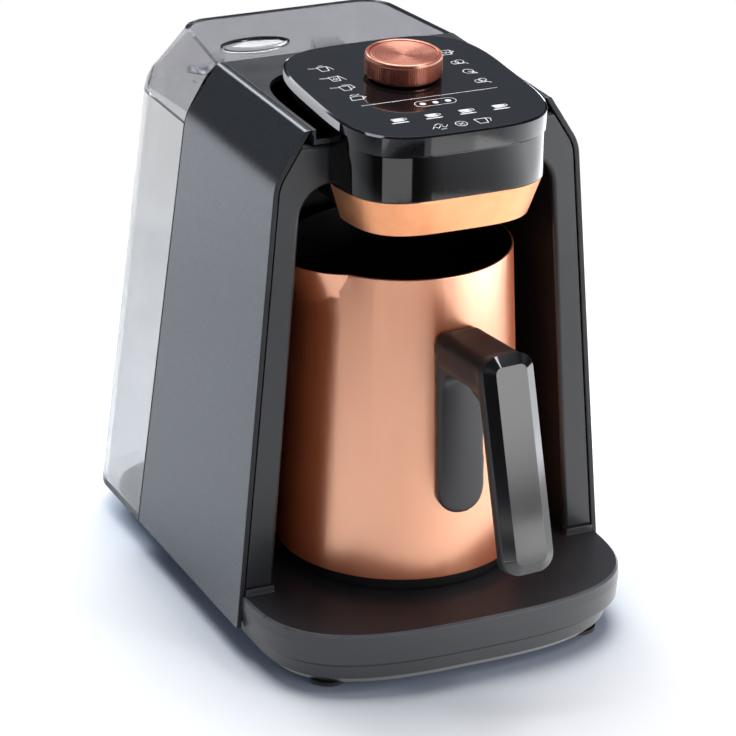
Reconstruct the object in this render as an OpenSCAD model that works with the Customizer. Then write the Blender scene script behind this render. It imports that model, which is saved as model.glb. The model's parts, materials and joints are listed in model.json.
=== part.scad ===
// Electric coffee maker for turkish coffee: lift-off pot in a bay, water tank at the back.
// Origin at the middle of the footprint on the table, +Z up, front towards -Y.
// Inside the modules Y counts from the axis of the pot; placed() moves that axis into the frame.

/* [Body] */
// Width of the body at the bottom edge of the side panels
body_bottom_w = 183; // [178:1:188]
// Width of the body at the soft fold
body_fold_w = 147; // [143:1:151]
// Width of the flat top between the two ridges
body_top_w = 118; // [115:1:122]
// Height of the side panels' bottom edge above the table
body_bottom_z = 14; // [13:0.5:15]
// Height of the flat top above the table
body_top_z = 246; // [240:1:252]
// Drop from the flat top to the soft fold
fold_drop = 23; // [20:1:26]
// Radius of the soft fold
fold_r = 22; // [14:1:30]
// Wall of the outer mouldings
wall = 2.5; // [2:0.1:3]
// Reach of the fascia in front of the pot axis
fascia_reach = 27; // [24:1:30]
// Thickness of the fascia
fascia_t = 3; // [2.4:0.2:4]
// Reach of the tank seam behind the pot axis, at the bottom edge
seam_reach = 95; // [92:1:100]
// Lean of the tank seam, degrees from upright
seam_lean = 5.45; // [4:0.25:6.5]
// Gap between two fixed mouldings
fit_gap = 0.2; // [0.1:0.05:0.3]

/* [Base] */
// Height of the tray's top face
tray_z = 30; // [28:0.5:33]
// Step from the bottom edge of the side panels in to the side of the tray
tray_step = 2.5; // [1.5:0.5:5]
// Reach of the tray in front of the fascia
tray_reach = 62; // [54:1:70]
// Squareness of the tray's front outline, 2 is an ellipse
tray_square = 3; // [2.4:0.1:4]
// Height of the seam between tray and base pan
pan_top_z = 15; // [14:0.5:16]
// Inward taper of the base pan down its side
pan_taper = 8.5; // [5:0.5:11]
// Height of the rubber feet
foot_h = 2.5; // [2:0.5:4]
// Diameter of the rubber feet
foot_d = 18; // [14:1:22]
// Height of the ledge under each pillar
ledge_h = 3; // [2:0.5:4]

/* [Pot bay] */
// Width of the bay at the height of the tray
bay_low_w = 147.4; // [142:0.2:150]
// Width of the bay under its ceiling
bay_high_w = 120; // [116:1:124]
// Radius of the bay's upper corners in the fascia
arch_r = 16; // [10:1:22]
// Wall of the bay liner
liner_t = 2; // [1.6:0.2:2.6]

/* [Head] */
// Width of the control panel
panel_w = 97.6; // [94:0.2:100]
// Length of the control panel
panel_l = 113; // [106:1:118]
// Reach of the control panel in front of the pot axis
panel_reach = 66.5; // [62:0.5:72]
// Rise of the control panel above the flat top, at the knob
panel_rise = 8.5; // [7:0.5:10]
// Tilt of the control panel to the front, degrees
panel_tilt = 3.1; // [2:0.1:4]
// Squareness of the control panel's outline
panel_square = 3.8; // [3:0.1:5]
// Height of the control panel's side edge
panel_edge = 4.6; // [4:0.1:5]
// Height of the deeper skirt round the panel's front
skirt_h = 9; // [8:0.5:10]
// Reach of the skirt's back end in front of the pot axis
skirt_reach = 45; // [38:1:50]
// Drop from the flat top to the lower edge of the head housing
housing_drop = 25; // [22:1:28]
// Height of the copper-coloured trim below the housing
trim_h = 17; // [14:1:19]
// Inward taper of the trim
trim_taper = 5; // [3:0.5:6]
// Width of the bare field sunk into the trim
field_w = 58; // [46:1:64]
// Width of the recess in the top cover round the panel
recess_w = 5.2; // [4.5:0.1:5.6]
// Depth of that recess
recess_d = 7; // [6:0.5:8]

/* [Knob] */
// Diameter of the knob
knob_d = 34.6; // [30:0.2:38]
// Height of the knob's top above the panel
knob_h = 11; // [9:0.2:14]
// Distance of the knob behind the pot axis
knob_y = 1.7; // [0:0.1:4]
// Gap under the knob
knob_gap = 0.6; // [0.4:0.1:1]
// Number of ribs round the knob
knob_ribs = 108; // [72:1:120]
// Diameter of the encoder shaft
shaft_d = 6; // [5:0.5:7]

/* [Pot] */
// Diameter of the steel body at its bottom edge
pot_low_d = 112.6; // [108:0.2:114]
// Diameter of the steel body at its rim
pot_rim_d = 99.8; // [96:0.2:104]
// Height of the steel body
pot_h = 142; // [134:1:148]
// Height of the base ring below the steel body
pot_ring_h = 6; // [5:0.5:8]
// Wall of the steel body
pot_wall = 1.2; // [0.8:0.1:1.6]
// Overhang of the pouring lip beyond the rim
lip_reach = 9; // [5:0.5:11]
// Height of the flare below the pouring lip
lip_h = 22; // [16:1:28]
// Turn of the pot on its round base, degrees
pot_turn = 4.5; // [0:0.5:8]

/* [Handle] */
// Width of the pad on the pot
pad_w = 23.4; // [21:0.2:28]
// Thickness of the pad
pad_t = 4.5; // [4:0.5:6]
// Height of the pad
pad_h = 86; // [76:1:96]
// Drop from the pot's rim to the top of the handle
handle_drop = 24.4; // [18:0.2:30]
// Width of the arm
arm_w = 23.4; // [19:0.2:25]
// Height of the arm
arm_h = 18; // [14:1:20]
// Distance of the grip's centre line from the pot axis, at its top
grip_r = 88.6; // [84:0.2:94]
// Outward lean of the grip, degrees
grip_lean = 15; // [8:1:18]
// Length of the grip
grip_l = 97; // [86:1:100]
// Width of the grip
grip_w = 25; // [22:1:28]
// Thickness of the grip
grip_t = 12.5; // [12:0.5:15]

/* [Tank] */
// Reach of the tank behind the pot axis, at its bottom edge
tank_reach = 167.5; // [158:0.5:176]
// Forward lean of the tank's back wall over its height
tank_back_in = 17.5; // [12:0.5:22]
// Drop from the soft fold to the seam between tank and lid
tank_drop = 5; // [4:0.5:8]
// Radius of the tank's back corners
tank_corner_r = 30; // [22:1:36]
// Wall of the tank and its lid
tank_wall = 2.2; // [1.8:0.1:2.6]
// Gap round the lift-off tank and lid
tank_gap = 0.3; // [0.2:0.1:0.6]
// Radius of the lid's back corners on its flat top
lid_corner_r = 15; // [12:1:20]
// Distance of the valve to the right of the middle
valve_x = 42; // [36:1:46]
// Distance of the valve behind the pot axis
valve_y = 130; // [126:1:134]

/* [Hidden] */
$fn = 64;

side_colour = "#4d5056";
fascia_colour = "#3c3d40";
black = "#161617";
dark = "#2b2a2c";
copper = "#d98a64";
steel = "#b9bcc0";
smoke = [0.75, 0.77, 0.79, 0.45];
white = "#e8e8e4";

// Heights that follow from the driving values
fold_z = body_top_z - fold_drop;
panel_z = body_top_z + panel_rise;
housing_z = body_top_z - housing_drop;
trim_z = housing_z - trim_h;
recess_z = body_top_z - recess_d;
bay_top_z = housing_z - 1;
tank_top_z = fold_z - tank_drop;
pot_z = tray_z + fit_gap;
pot_low_z = pot_z + pot_ring_h;
pot_rim_z = pot_low_z + pot_h;
handle_z = pot_rim_z - handle_drop;
underside_z = trim_z + 2;

// Outer shell of the grip
shell_t = 3;
bevel_w = 4.8;
bevel_h = 2.8;
grip_corner = 8;

// Width of the tray
tray_w = body_bottom_w - 2*tray_step;

// Places along Y, from the pot axis
fascia_y = -fascia_reach;
panel_y = -panel_reach + panel_l/2;
grip_foot_y = (grip_r + (grip_l - bevel_w)*sin(grip_lean) + grip_t/2*cos(grip_lean))*cos(pot_turn)
    + (grip_w/2 - grip_corner)*sin(pot_turn);
place_y = (grip_foot_y - tank_reach)/2;

// Side of the body in front view: a leaning lower face, a soft fold and a steeper shoulder
side_slope = (body_bottom_w - body_fold_w)/2/(fold_z - body_bottom_z);
side_angle = atan(side_slope);
shoulder_slope = (body_fold_w - body_top_w)/2/fold_drop;
shoulder_angle = atan(shoulder_slope);
function half_w(z) = body_bottom_w/2 - side_slope*(z - body_bottom_z);
function side_x(z, inset) = half_w(z) - inset/cos(side_angle);
function shoulder_x(z, inset) =
    body_top_w/2 + shoulder_slope*(body_top_z - z) - inset/cos(shoulder_angle);
fold_centre_z = (body_top_w/2 + shoulder_slope*body_top_z - fold_r/cos(shoulder_angle)
    - body_bottom_w/2 - side_slope*body_bottom_z + fold_r/cos(side_angle))
    /(shoulder_slope - side_slope);
fold_centre = [side_x(fold_centre_z, fold_r), fold_centre_z];

// The seam between body and tank leans back towards its foot
function seam_y(z) = seam_reach - tan(seam_lean)*(z - body_bottom_z);

// Half width of the bay at a height
bay_slope = (bay_low_w - bay_high_w)/2/(bay_top_z - tray_z);
bay_angle = atan(bay_slope);
function bay_x(z) = bay_low_w/2 - bay_slope*(z - tray_z);

// Radius of the pot's steel body at a height
function pot_r(z) = pot_low_d/2 - (pot_low_d - pot_rim_d)/2*(z - pot_low_z)/pot_h;

// Rounded outline that is squarer than an ellipse
function rounded(a, b, square, count) = [for (i = [0:count - 1])
    let (t = 360*i/count, c = cos(t), s = sin(t))
    [a*sign(c)*pow(abs(c), 2/square), b*sign(s)*pow(abs(s), 2/square)]];

module placed() translate([0, place_y, 0]) children();
module along_y(y0, y1) translate([0, y1, 0]) rotate([90, 0, 0]) linear_extrude(y1 - y0) children();
module along_x(x0, x1) translate([x0, 0, 0]) rotate([90, 0, 90]) linear_extrude(x1 - x0) children();
module slab(z0, z1) translate([0, 0, z0]) linear_extrude(z1 - z0) children();
module box(x0, x1, y0, y1, z0, z1) translate([x0, y0, z0]) cube([x1 - x0, y1 - y0, z1 - z0]);

// Rectangle with true round corners, centred
module round_rect(w, h, r) {
    square([w - 2*r, h], center = true);
    square([w, h - 2*r], center = true);
    for (x = [-1, 1], y = [-1, 1]) translate([x*(w/2 - r), y*(h/2 - r)]) circle(r);
}

// Front view of the body, all faces moved in by inset
module body_profile(inset, low, high) {
    reach = fold_r - inset;
    right = [[side_x(low, inset), low],
        fold_centre + reach*[cos(side_angle), sin(side_angle)],
        fold_centre + reach*[cos(shoulder_angle), sin(shoulder_angle)],
        [shoulder_x(high, inset), high]];
    polygon(concat(right, [for (i = [3:-1:0]) [-right[i][0], right[i][1]]]));
    for (side = [-1, 1]) translate([side*fold_centre[0], fold_centre[1]]) circle(reach);
}

// Everything in front of the seam plane, or behind it
module before_seam(gap, low, high)
    along_x(-150, 150) polygon([[-200, low], [seam_y(low) - gap, low],
        [seam_y(high) - gap, high], [-200, high]]);
module behind_seam(gap, low, high)
    along_x(-150, 150) polygon([[300, low], [seam_y(low) + gap, low],
        [seam_y(high) + gap, high], [300, high]]);

// Opening of the bay in front view, with round upper corners
module bay_opening(low, high) {
    corner = [bay_x(high - arch_r) - arch_r/cos(bay_angle), high - arch_r];
    right = [[bay_x(low), low], corner + arch_r*[cos(bay_angle), sin(bay_angle)],
        corner + [0, arch_r]];
    polygon(concat(right, [for (i = [2:-1:0]) [-right[i][0], right[i][1]]]));
    for (side = [-1, 1]) translate([side*corner[0], corner[1]]) circle(arch_r);
}

// ---------------------------------------------------------------- base

inner_w = tray_w - 17;
deck_z = body_bottom_z - fit_gap - 0.2;
deck_t = 2;
pan_low_z = foot_h;
pan_floor_t = 2.5;

// Front half of the tray outline, moved in by inset
module tray_front(inset) intersection() {
    translate([0, fascia_y]) polygon(rounded(tray_w/2 - inset, tray_reach - inset, tray_square, 96));
    translate([-200, fascia_y - 200]) square([400, 200]);
}

// Whole outline of the base pan
pan_back_y = tank_reach - 8;
module pan_outline(inset) {
    tray_front(inset);
    difference() {
        translate([inset - tray_w/2, fascia_y - 0.01])
            square([tray_w - 2*inset, pan_back_y - inset - fascia_y]);
        for (side = [-1, 1]) translate([side*(tray_w/2 - inset), pan_back_y - inset]) difference() {
            translate([-tank_corner_r, -tank_corner_r]) square(2*tank_corner_r);
            translate([-side*tank_corner_r, -tank_corner_r]) circle(tank_corner_r);
            translate([side < 0 ? tank_corner_r : -3*tank_corner_r, -tank_corner_r])
                square(2*tank_corner_r);
            translate([-2*tank_corner_r, -3*tank_corner_r]) square([4*tank_corner_r, 2*tank_corner_r]);
        }
    }
}

foot_places = [for (x = [-1, 1], y = [fascia_y - tray_reach + 27, pan_back_y - 34])
    [x*(tray_w/2 - 27), y]];
screw_places = [for (x = [-1, 1], y = [fascia_y + 10, seam_reach - 29]) [x*(inner_w/2 - 9), y]];
screw_r = 1.5;
gland_x = -40;
gland_w = 14;
gland_h = 5;

module base_pan() placed() color(black) difference() {
    union() {
        difference() {
            hull() {
                slab(pan_low_z, pan_low_z + 0.1) pan_outline(2.5 + pan_taper);
                slab(pan_low_z + 3.5, pan_low_z + 3.6) pan_outline(2.5 + 0.35*pan_taper);
                slab(pan_top_z - 0.1, pan_top_z) pan_outline(2.5);
            }
            hull() {
                slab(pan_low_z + pan_floor_t, pan_low_z + pan_floor_t + 0.1)
                    pan_outline(4.7 + 0.6*pan_taper);
                slab(pan_top_z, pan_top_z + 0.1) pan_outline(4.7);
            }
        }
        for (p = screw_places) translate([p[0], p[1], pan_low_z + 1])
            cylinder(r = 5, h = pan_top_z - pan_low_z - 1);
    }
    box(-150, 150, seam_y(body_bottom_z) - 8, 300, deck_z - deck_t - fit_gap, pan_top_z + 1);
    for (p = screw_places) translate([p[0], p[1], 0]) {
        cylinder(r = 1.75, h = 50);
        cylinder(r = 3.4, h = pan_low_z + 4);
    }
    for (p = foot_places) translate([p[0], p[1], 0]) cylinder(r = 4.1, h = 20);
    box(gland_x - gland_w/2 - fit_gap, gland_x + gland_w/2 + fit_gap, pan_back_y - 16,
        pan_back_y + 10, deck_z - deck_t - gland_h, deck_z);
}

module rubber_feet() placed() color("#232323") for (p = foot_places) translate([p[0], p[1], 0])
    rotate_extrude() polygon([[0, 0], [foot_d/2 - 1, 0], [foot_d/2, 0.8], [foot_d/2, foot_h - 0.1],
        [4, foot_h - 0.1], [4, foot_h + pan_floor_t + 0.2], [5, foot_h + pan_floor_t + 0.2],
        [4, foot_h + pan_floor_t + 2], [0, foot_h + pan_floor_t + 2]]);

tray_low_z = pan_top_z + fit_gap;
connector_r = 14;
connector_flange_r = 24;
tray_back_y = seam_reach - 11;
board_h = 92;
rail_x = side_x(tray_z + board_h, wall) - 7.7;
rail_y1 = seam_reach - 13;
rail_y0 = rail_y1 - 38;
rail_t = 1.8;

module base_tray() placed() color(dark) difference() {
    union() {
        hull() {
            slab(tray_low_z, tray_low_z + 0.1) tray_front(0.7);
            slab(tray_z - 6, tray_z - 5.9) tray_front(0);
            slab(tray_z - 1.2, tray_z - 1.1) tray_front(0.3);
            slab(tray_z - 0.1, tray_z) tray_front(1.2);
        }
        box(-inner_w/2, inner_w/2, fascia_y - 0.1, tray_back_y, tray_low_z, tray_z);
        // ledge under each pillar
        for (side = [0, 1]) mirror([side, 0, 0]) box(bay_x(tray_z), side_x(tray_z + ledge_h, wall) - fit_gap,
            fascia_y - 1.5, fascia_y + fascia_t, tray_z - 1, tray_z + ledge_h);
        // rail that holds the power board
        for (x = [-rail_x - 2*rail_t - 0.2, -rail_x + 0.2])
            box(x, x + rail_t, rail_y0, rail_y1, tray_z - 1, tray_z + 8);
    }
    difference() {
        union() {
            slab(tray_low_z - 1, tray_z - wall) tray_front(wall);
            box(-inner_w/2 + wall, inner_w/2 - wall, fascia_y - wall - 0.2, tray_back_y - wall,
                tray_low_z - 1, tray_z - wall);
        }
        for (p = screw_places) translate([p[0], p[1], tray_low_z - 2]) cylinder(r = 4.5, h = 30);
    }
    for (p = screw_places) translate([p[0], p[1], 0]) cylinder(r = screw_r + 0.05, h = tray_z - wall);
    cylinder(r = connector_r + fit_gap, h = 60);
    translate([pump_x, pump_y, 0]) cylinder(r = 3.4, h = 60);
}

module base_screws() placed() color(steel) for (p = screw_places)
    translate([p[0], p[1], 0]) {
        translate([0, 0, pan_low_z + 2]) cylinder(r = 2.9, h = 1.9);
        translate([0, 0, pan_low_z + 3]) cylinder(r = screw_r, h = tray_z - wall - pan_low_z - 4);
    }

// Low connector that the pot stands on
connector_top = tray_z + 8.5;
module pot_connector() placed() color(black) difference() {
    union() {
        translate([0, 0, tray_z - wall - 2.2]) cylinder(r = connector_flange_r, h = 2);
        translate([0, 0, tray_z - wall - 1]) cylinder(r = connector_r, h = connector_top - tray_z + wall + 1);
        for (a = [30, 150, 270]) rotate([0, 0, a]) translate([18, 0, tray_z - wall - 8])
            cylinder(r = 1.6, h = 7);
    }
    translate([0, 0, connector_top - 5]) cylinder(r = 3, h = 10);
    translate([0, 0, connector_top - 4]) difference() {
        cylinder(r = 9.5, h = 10);
        translate([0, 0, -1]) cylinder(r = 7.5, h = 12);
    }
}

module cord_gland() placed() color("#202020")
    translate([gland_x, pan_back_y - 6, deck_z - deck_t - gland_h/2 - 0.1]) difference() {
        union() {
            along_y(-7.5, 3) round_rect(gland_w - 0.2, gland_h - 0.4, 1.8);
            along_y(3, 5) round_rect(gland_w - 4, gland_h - 0.4, 1.8);
        }
        along_y(-10, 10) round_rect(6.6, 2.6, 1.25);
    }

// ---------------------------------------------------------------- casing

flange_low = pan_top_z + fit_gap;
module side_panel() {
    difference() {
        intersection() {
            along_y(fascia_y, seam_reach + 20) union() {
                difference() {
                    body_profile(0, body_bottom_z, body_top_z);
                    body_profile(wall, body_bottom_z - 5, body_top_z + 5);
                }
            }
            before_seam(0, body_bottom_z - 1, body_top_z + 1);
            box(0, 200, -100, 200, 0, 400);
        }
    }
    // bottom flange that rests on the base pan
    intersection() {
        along_y(fascia_y + fascia_t + 1, seam_reach - 3) polygon([
            [inner_w/2 + fit_gap, flange_low], [side_x(flange_low, wall - 0.5), flange_low],
            [side_x(flange_low + 2, wall - 0.5), flange_low + 2], [inner_w/2 + fit_gap, flange_low + 2]]);
        before_seam(3.5, 0, 400);
    }
}
module side_panel_right() placed() color(side_colour) side_panel();
module side_panel_left() placed() color(side_colour) mirror([1, 0, 0]) side_panel();

fascia_inset = wall + 0.6;
fascia_low_z = tray_z + ledge_h + fit_gap;
module front_fascia() placed() color(fascia_colour) difference() {
    union() {
        along_y(fascia_y + 0.4, fascia_y + fascia_t) difference() {
            body_profile(fascia_inset, fascia_low_z, recess_z - fit_gap);
            bay_opening(fascia_low_z - 5, bay_top_z);
        }
        // tabs that locate the side panels
        for (side = [-1, 1], z = [60, 120, 180]) translate([side*(side_x(z, wall + 0.1) - 3), 0, 0])
            box(-2.9, 2.9, fascia_y + fascia_t - 0.5, fascia_y + fascia_t + 5, z, z + 8);
    }
    translate([0, 0, -1]) along_y(fascia_y - 5, fascia_y + 30)
        difference() {
            translate([-200, 0]) square([400, 400]);
            translate([0, 1]) body_profile(wall + 0.1, fascia_low_z - 1, body_top_z);
        }
}

module liner_space(grow, low, high) {
    front_y = fascia_y + fascia_t + fit_gap;
    intersection() {
        translate([0, 0, low])
            cylinder(r1 = bay_x(low) + grow, r2 = bay_x(high) + grow, h = high - low);
        box(-200, 200, 0, 200, 0, 400);
    }
    along_y(front_y, 0) polygon([[-bay_x(low) - grow, low], [bay_x(low) + grow, low],
        [bay_x(high) + grow, high], [-bay_x(high) - grow, high]]);
}
module bay_liner() placed() color(black) difference() {
    liner_space(liner_t, tray_z + fit_gap, bay_top_z + liner_t);
    difference() {
        translate([0, 0, 0]) liner_space(0, tray_z - 1, bay_top_z);
    }
    box(-200, 200, -200, fascia_y + fascia_t + fit_gap + 0.01, 0, 400);
    translate([0, nozzle_y, 0]) cylinder(r = 3.6, h = 400);
}

module rear_chassis() placed() color("#26272a") difference() {
    union() {
        // bulkhead along the seam
        intersection() {
            along_y(0, 200) body_profile(wall + fit_gap, deck_z - deck_t, body_top_z - wall - fit_gap);
            before_seam(0, 0, 400);
            behind_seam(-2.2, 0, 400);
        }
        // deck under the tank
        intersection() {
            slab(deck_z - deck_t, deck_z) pan_outline(3.5);
            behind_seam(-2.2, 0, 400);
        }
        // foot of the bulkhead on the tray
        box(-inner_w/2 + 6, inner_w/2 - 6, tray_back_y + fit_gap, seam_y(tray_z) - 1, tray_z - 4, tray_z - 2);
    }
    translate([valve_x, valve_y, 0]) cylinder(r = 10.3, h = 60);
}

top_half_w = shoulder_x(body_top_z, wall) - fit_gap;
module panel_outline(inset)
    translate([0, panel_y]) polygon(rounded(panel_w/2 - inset, panel_l/2 - inset, panel_square, 96));

module top_cover() placed() color("#3a3b3e") intersection() {
    union() {
        difference() {
            slab(body_top_z - wall, body_top_z) translate([-top_half_w, fascia_y])
                square([2*top_half_w, seam_reach - fascia_y]);
            slab(0, 400) panel_outline(-recess_w);
        }
        slab(recess_z, body_top_z - 1) difference() {
            panel_outline(-recess_w - 1.2);
            panel_outline(-recess_w);
        }
        slab(recess_z, recess_z + 2) difference() {
            panel_outline(-recess_w - 1.2);
            panel_outline(9);
        }
    }
    box(-top_half_w, top_half_w, fascia_y, 200, 0, 400);
    before_seam(0, 0, 400);
}

// ---------------------------------------------------------------- head

module tilted() translate([0, knob_y, panel_z]) rotate([panel_tilt, 0, 0])
    translate([0, -knob_y, 0]) children();

// Space that the control panel fills, with a gap, used to cut what lies under it
module panel_envelope(gap) tilted() {
    translate([-100, -150, -panel_edge - gap]) cube([200, 300, 60]);
    translate([-100, -150, -skirt_h - gap]) cube([200, 150 - skirt_reach + gap, 60]);
}

frame_inset = 3.7;
frame_t = 2;
board_z = -7.4;
board_t = 1.6;

module panel_frame() placed() color(black) difference() {
    slab(recess_z + 2 + fit_gap, panel_z + 20) difference() {
        panel_outline(frame_inset);
        panel_outline(frame_inset + 6);
    }
    tilted() slab(-2.6, 40) panel_outline(0);
    // the ring is thin above the ledge that carries the touch board
    tilted() slab(board_z - board_t - 0.1, 40) panel_outline(frame_inset + frame_t);
    tilted() slab(-40, board_z - board_t - 2) panel_outline(frame_inset + frame_t);
}

module control_panel() placed() color("#4b4c50") tilted() difference() {
    union() {
        hull() {
            slab(-0.1, 0) panel_outline(0.9);
            slab(-0.8, -0.7) panel_outline(0);
        }
        slab(-panel_edge, -0.8) panel_outline(0);
        intersection() {
            slab(-skirt_h, -1) panel_outline(0);
            box(-100, 100, -150, -skirt_reach, -50, 50);
        }
    }
    slab(-skirt_h - 1, -2.4) panel_outline(2.8);
    translate([0, knob_y, -20]) cylinder(r = bush_r + 0.1, h = 40);
}

module head_housing() placed() color("#0e0e0f") difference() {
    slab(housing_z, panel_z + 10) difference() {
        panel_outline(0.8);
        panel_outline(3);
    }
    panel_envelope(0.1);
    box(-200, 200, fascia_y - 0.1, 200, 0, 400);
}

module head_trim() placed() color(copper) difference() {
    hull() {
        slab(housing_z - fit_gap - 0.2, housing_z - fit_gap) panel_outline(1.2);
        slab(trim_z, trim_z + 0.1) panel_outline(1.2 + trim_taper);
    }
    hull() {
        slab(housing_z - 0.2, housing_z) panel_outline(3);
        slab(trim_z - 1, trim_z - 0.9) panel_outline(3.3 + trim_taper);
    }
    box(-200, 200, fascia_y - fit_gap, 200, 0, 400);
    // bare field in the front face
    translate([0, -panel_reach + 1.2, housing_z]) rotate([-atan(trim_taper/trim_h), 0, 0])
        translate([-field_w/2, -20 + 1, -10]) cube([field_w, 20, 20]);
}

sensor_x = -22;
nozzle_y = 14;
module underside_outline(inset) panel_outline(3.9 + trim_taper + inset);
module head_underside() placed() color(black) difference() {
    slab(underside_z, bay_top_z - fit_gap) underside_outline(0);
    slab(underside_z + 2, bay_top_z + 5) underside_outline(2);
    translate([0, nozzle_y, 0]) cylinder(r = 4.1, h = 400);
    translate([sensor_x, nozzle_y, 0]) cylinder(r = 6.1, h = 400);
}

module water_nozzle() placed() color(steel) translate([0, nozzle_y, 0]) difference() {
    union() {
        translate([0, 0, underside_z - 7]) cylinder(r1 = 3, r2 = 4, h = 3);
        translate([0, 0, underside_z - 4]) cylinder(r = 4, h = 7);
        translate([0, 0, underside_z + 2 + 0.1]) cylinder(r = 8, h = 2);
        translate([0, 0, underside_z + 4]) cylinder(r = 2, h = 8);
    }
    translate([0, 0, underside_z - 10]) cylinder(r = 1.2, h = 40);
}

module sensor_housing() placed() color(dark) translate([sensor_x, nozzle_y, 0]) difference() {
    union() {
        translate([0, 0, underside_z - 2]) cylinder(r = 6, h = 8);
        translate([0, 0, underside_z + 2 + 0.1]) cylinder(r = 9, h = 1.6);
    }
    translate([0, 0, underside_z - 5]) cylinder(r = 4.4, h = 5);
}
module sensor_lens() placed() color([0.3, 0.1, 0.1, 0.7]) translate([sensor_x, nozzle_y, 0])
    translate([0, 0, underside_z - 1.5]) cylinder(r = 4.3, h = 1.4);

bush_r = 4.5;
spring_places = concat(
    [for (x = [-30, 30], i = [0:3]) [x, 20 - 12*i]],
    [for (i = [0:3]) [-24 + 16*i, -45.5]],
    [for (i = [-1:1]) [10.4*i, -57.5]]);

module touch_board() placed() color("#1d5b3a") tilted() difference() {
    slab(board_z - board_t, board_z) panel_outline(frame_inset + frame_t + 0.2);
    translate([0, knob_y, -20]) cylinder(r = bush_r + 0.1, h = 40);
}

module touch_springs() placed() color(steel) tilted() for (p = spring_places)
    translate([p[0], p[1], board_z + 0.05]) difference() {
        cylinder(r = 2.6, h = -board_z - 2.4 - 0.15);
        translate([0, 0, -1]) cylinder(r = 1.8, h = -board_z);
    }

module encoder_body() placed() color(steel) tilted() translate([0, knob_y, 0]) difference() {
    union() {
        translate([-7, -7, board_z - board_t - 7]) cube([14, 14, 6.95]);
        translate([0, 0, board_z - board_t - 1]) cylinder(r = bush_r, h = -board_z + board_t + 1);
    }
    translate([0, 0, board_z - board_t - 6]) cylinder(r = shaft_d/2 + 0.05, h = 40);
}
module encoder_shaft() placed() color("#8d9094") tilted() translate([0, knob_y, 0])
    translate([0, 0, board_z - board_t - 5.8])
        cylinder(r = shaft_d/2, h = knob_h - 2.5 - board_z + board_t + 5.8);

module knob() placed() color("#b77563") tilted() translate([0, knob_y, 0]) difference() {
    union() {
        slab(knob_gap + 0.8, knob_h - 1.2) polygon([for (i = [0:2*knob_ribs - 1])
            let (a = 180*i/knob_ribs, r = knob_d/2 - (i % 2)*0.45) [r*cos(a), r*sin(a)]]);
        rotate_extrude() polygon([[0, knob_gap], [knob_d/2 - 1.6, knob_gap],
            [knob_d/2 - 0.6, knob_gap + 0.8], [knob_d/2 - 0.6, knob_h - 1.2],
            [knob_d/2 - 0.4, knob_h - 0.9], [knob_d/2 - 0.5, knob_h - 0.3],
            [knob_d/2 - 1, knob_h], [knob_d/2 - 2.2, knob_h], [knob_d/2 - 3, knob_h - 0.9],
            [0, knob_h - 1.3]]);
    }
    // hollow that clears the bush, with a boss round the shaft
    translate([0, 0, -1]) difference() {
        cylinder(r = knob_d/2 - 3, h = knob_h - 3);
        cylinder(r = shaft_d/2 + 2, h = knob_h);
    }
    translate([0, 0, -1]) cylinder(r = shaft_d/2 + 0.02, h = knob_h - 1.4);
}

// ---------------------------------------------------------------- inside

// The pump stands in the corner between liner, side panel and bulkhead
hose_r = 2.4;
rise_top = tray_z + 66;
rise_x = side_x(rise_top, wall) - hose_r - 1;
pump_r = 10.5;
pump_corner = 3;
pump_clear = 1;
pump_x = rise_x - pump_r - 10;
pump_y = sqrt(pow(bay_x(tray_z) + liner_t + pump_clear + pump_corner, 2)
    - pow(pump_x - pump_r + pump_corner, 2)) + pump_r - pump_corner;
module pump_mount() placed() color("#1c1c1c") translate([pump_x, pump_y, 0]) difference() {
    translate([0, 0, tray_z + 0.1]) cylinder(r = pump_r + 1, h = 4);
    translate([0, 0, tray_z - 1]) cylinder(r = 3.4, h = 10);
}
module pump_head() placed() color("#33506b") translate([pump_x, pump_y, tray_z + 4.2]) difference() {
    union() {
        slab(0, 18) round_rect(2*pump_r, 2*pump_r, pump_corner);
        translate([0, 0, -3]) cylinder(r = 2.4, h = 4);
        translate([pump_r - 1, 0, 12]) rotate([0, 90, 0]) cylinder(r = 2.4, h = 3);
    }
    translate([0, 0, -4]) cylinder(r = 1.2, h = 8);
    translate([pump_r - 3, 0, 12]) rotate([0, 90, 0]) cylinder(r = 1.2, h = 6);
}
port_z = tray_z + 4.2 + 12;
module pump_motor() placed() color(steel) translate([pump_x, pump_y, tray_z + 22.3]) {
    cylinder(r = pump_r - 0.5, h = 36);
    translate([0, 0, 36]) cylinder(r = 4, h = 2);
}

module power_board() placed() color("#1d5b3a")
    box(-rail_x - rail_t, -rail_x, rail_y0 + 1, rail_y1 - 1, tray_z + 0.1, tray_z + board_h);
module board_parts() placed() translate([-rail_x + 0.1, 0, 0]) {
    color("#3a6ea5") box(0, 14, rail_y0 + 12, rail_y1 - 8, tray_z + 14, tray_z + 34);
    color("#222222") box(0, 12, rail_y0 + 10, rail_y1 - 14, tray_z + 40, tray_z + 56);
    for (z = [26, 12]) color("#5b4a8a") translate([0, rail_y1 - 18, tray_z + board_h - z]) rotate([0, 90, 0])
        cylinder(r = 5, h = 15);
}

socket_z = pan_low_z + pan_floor_t;
module inlet_socket() placed() color(dark) translate([valve_x, valve_y, 0]) difference() {
    union() {
        translate([0, 0, socket_z + 0.1]) cylinder(r = 10, h = deck_z - socket_z + 0.4);
        translate([0, 0, deck_z]) cylinder(r = 6.2, h = 6.4);
    }
    translate([0, 0, socket_z + 2]) difference() {
        cylinder(r = 4.5, h = 30);
        cylinder(r = 1.2, h = 30);
        for (a = [0, 90]) rotate([0, 0, a]) translate([-5, -0.7, -1]) cube([10, 1.4, 6]);
    }
    translate([0, 0, deck_z + 2.9]) rotate_extrude() translate([6.2, 0]) circle(0.9, $fn = 24);
}
module inlet_seal() placed() color("#111111") translate([valve_x, valve_y, deck_z + 2.9])
    rotate_extrude() translate([6.1, 0]) circle(0.78, $fn = 24);

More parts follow.
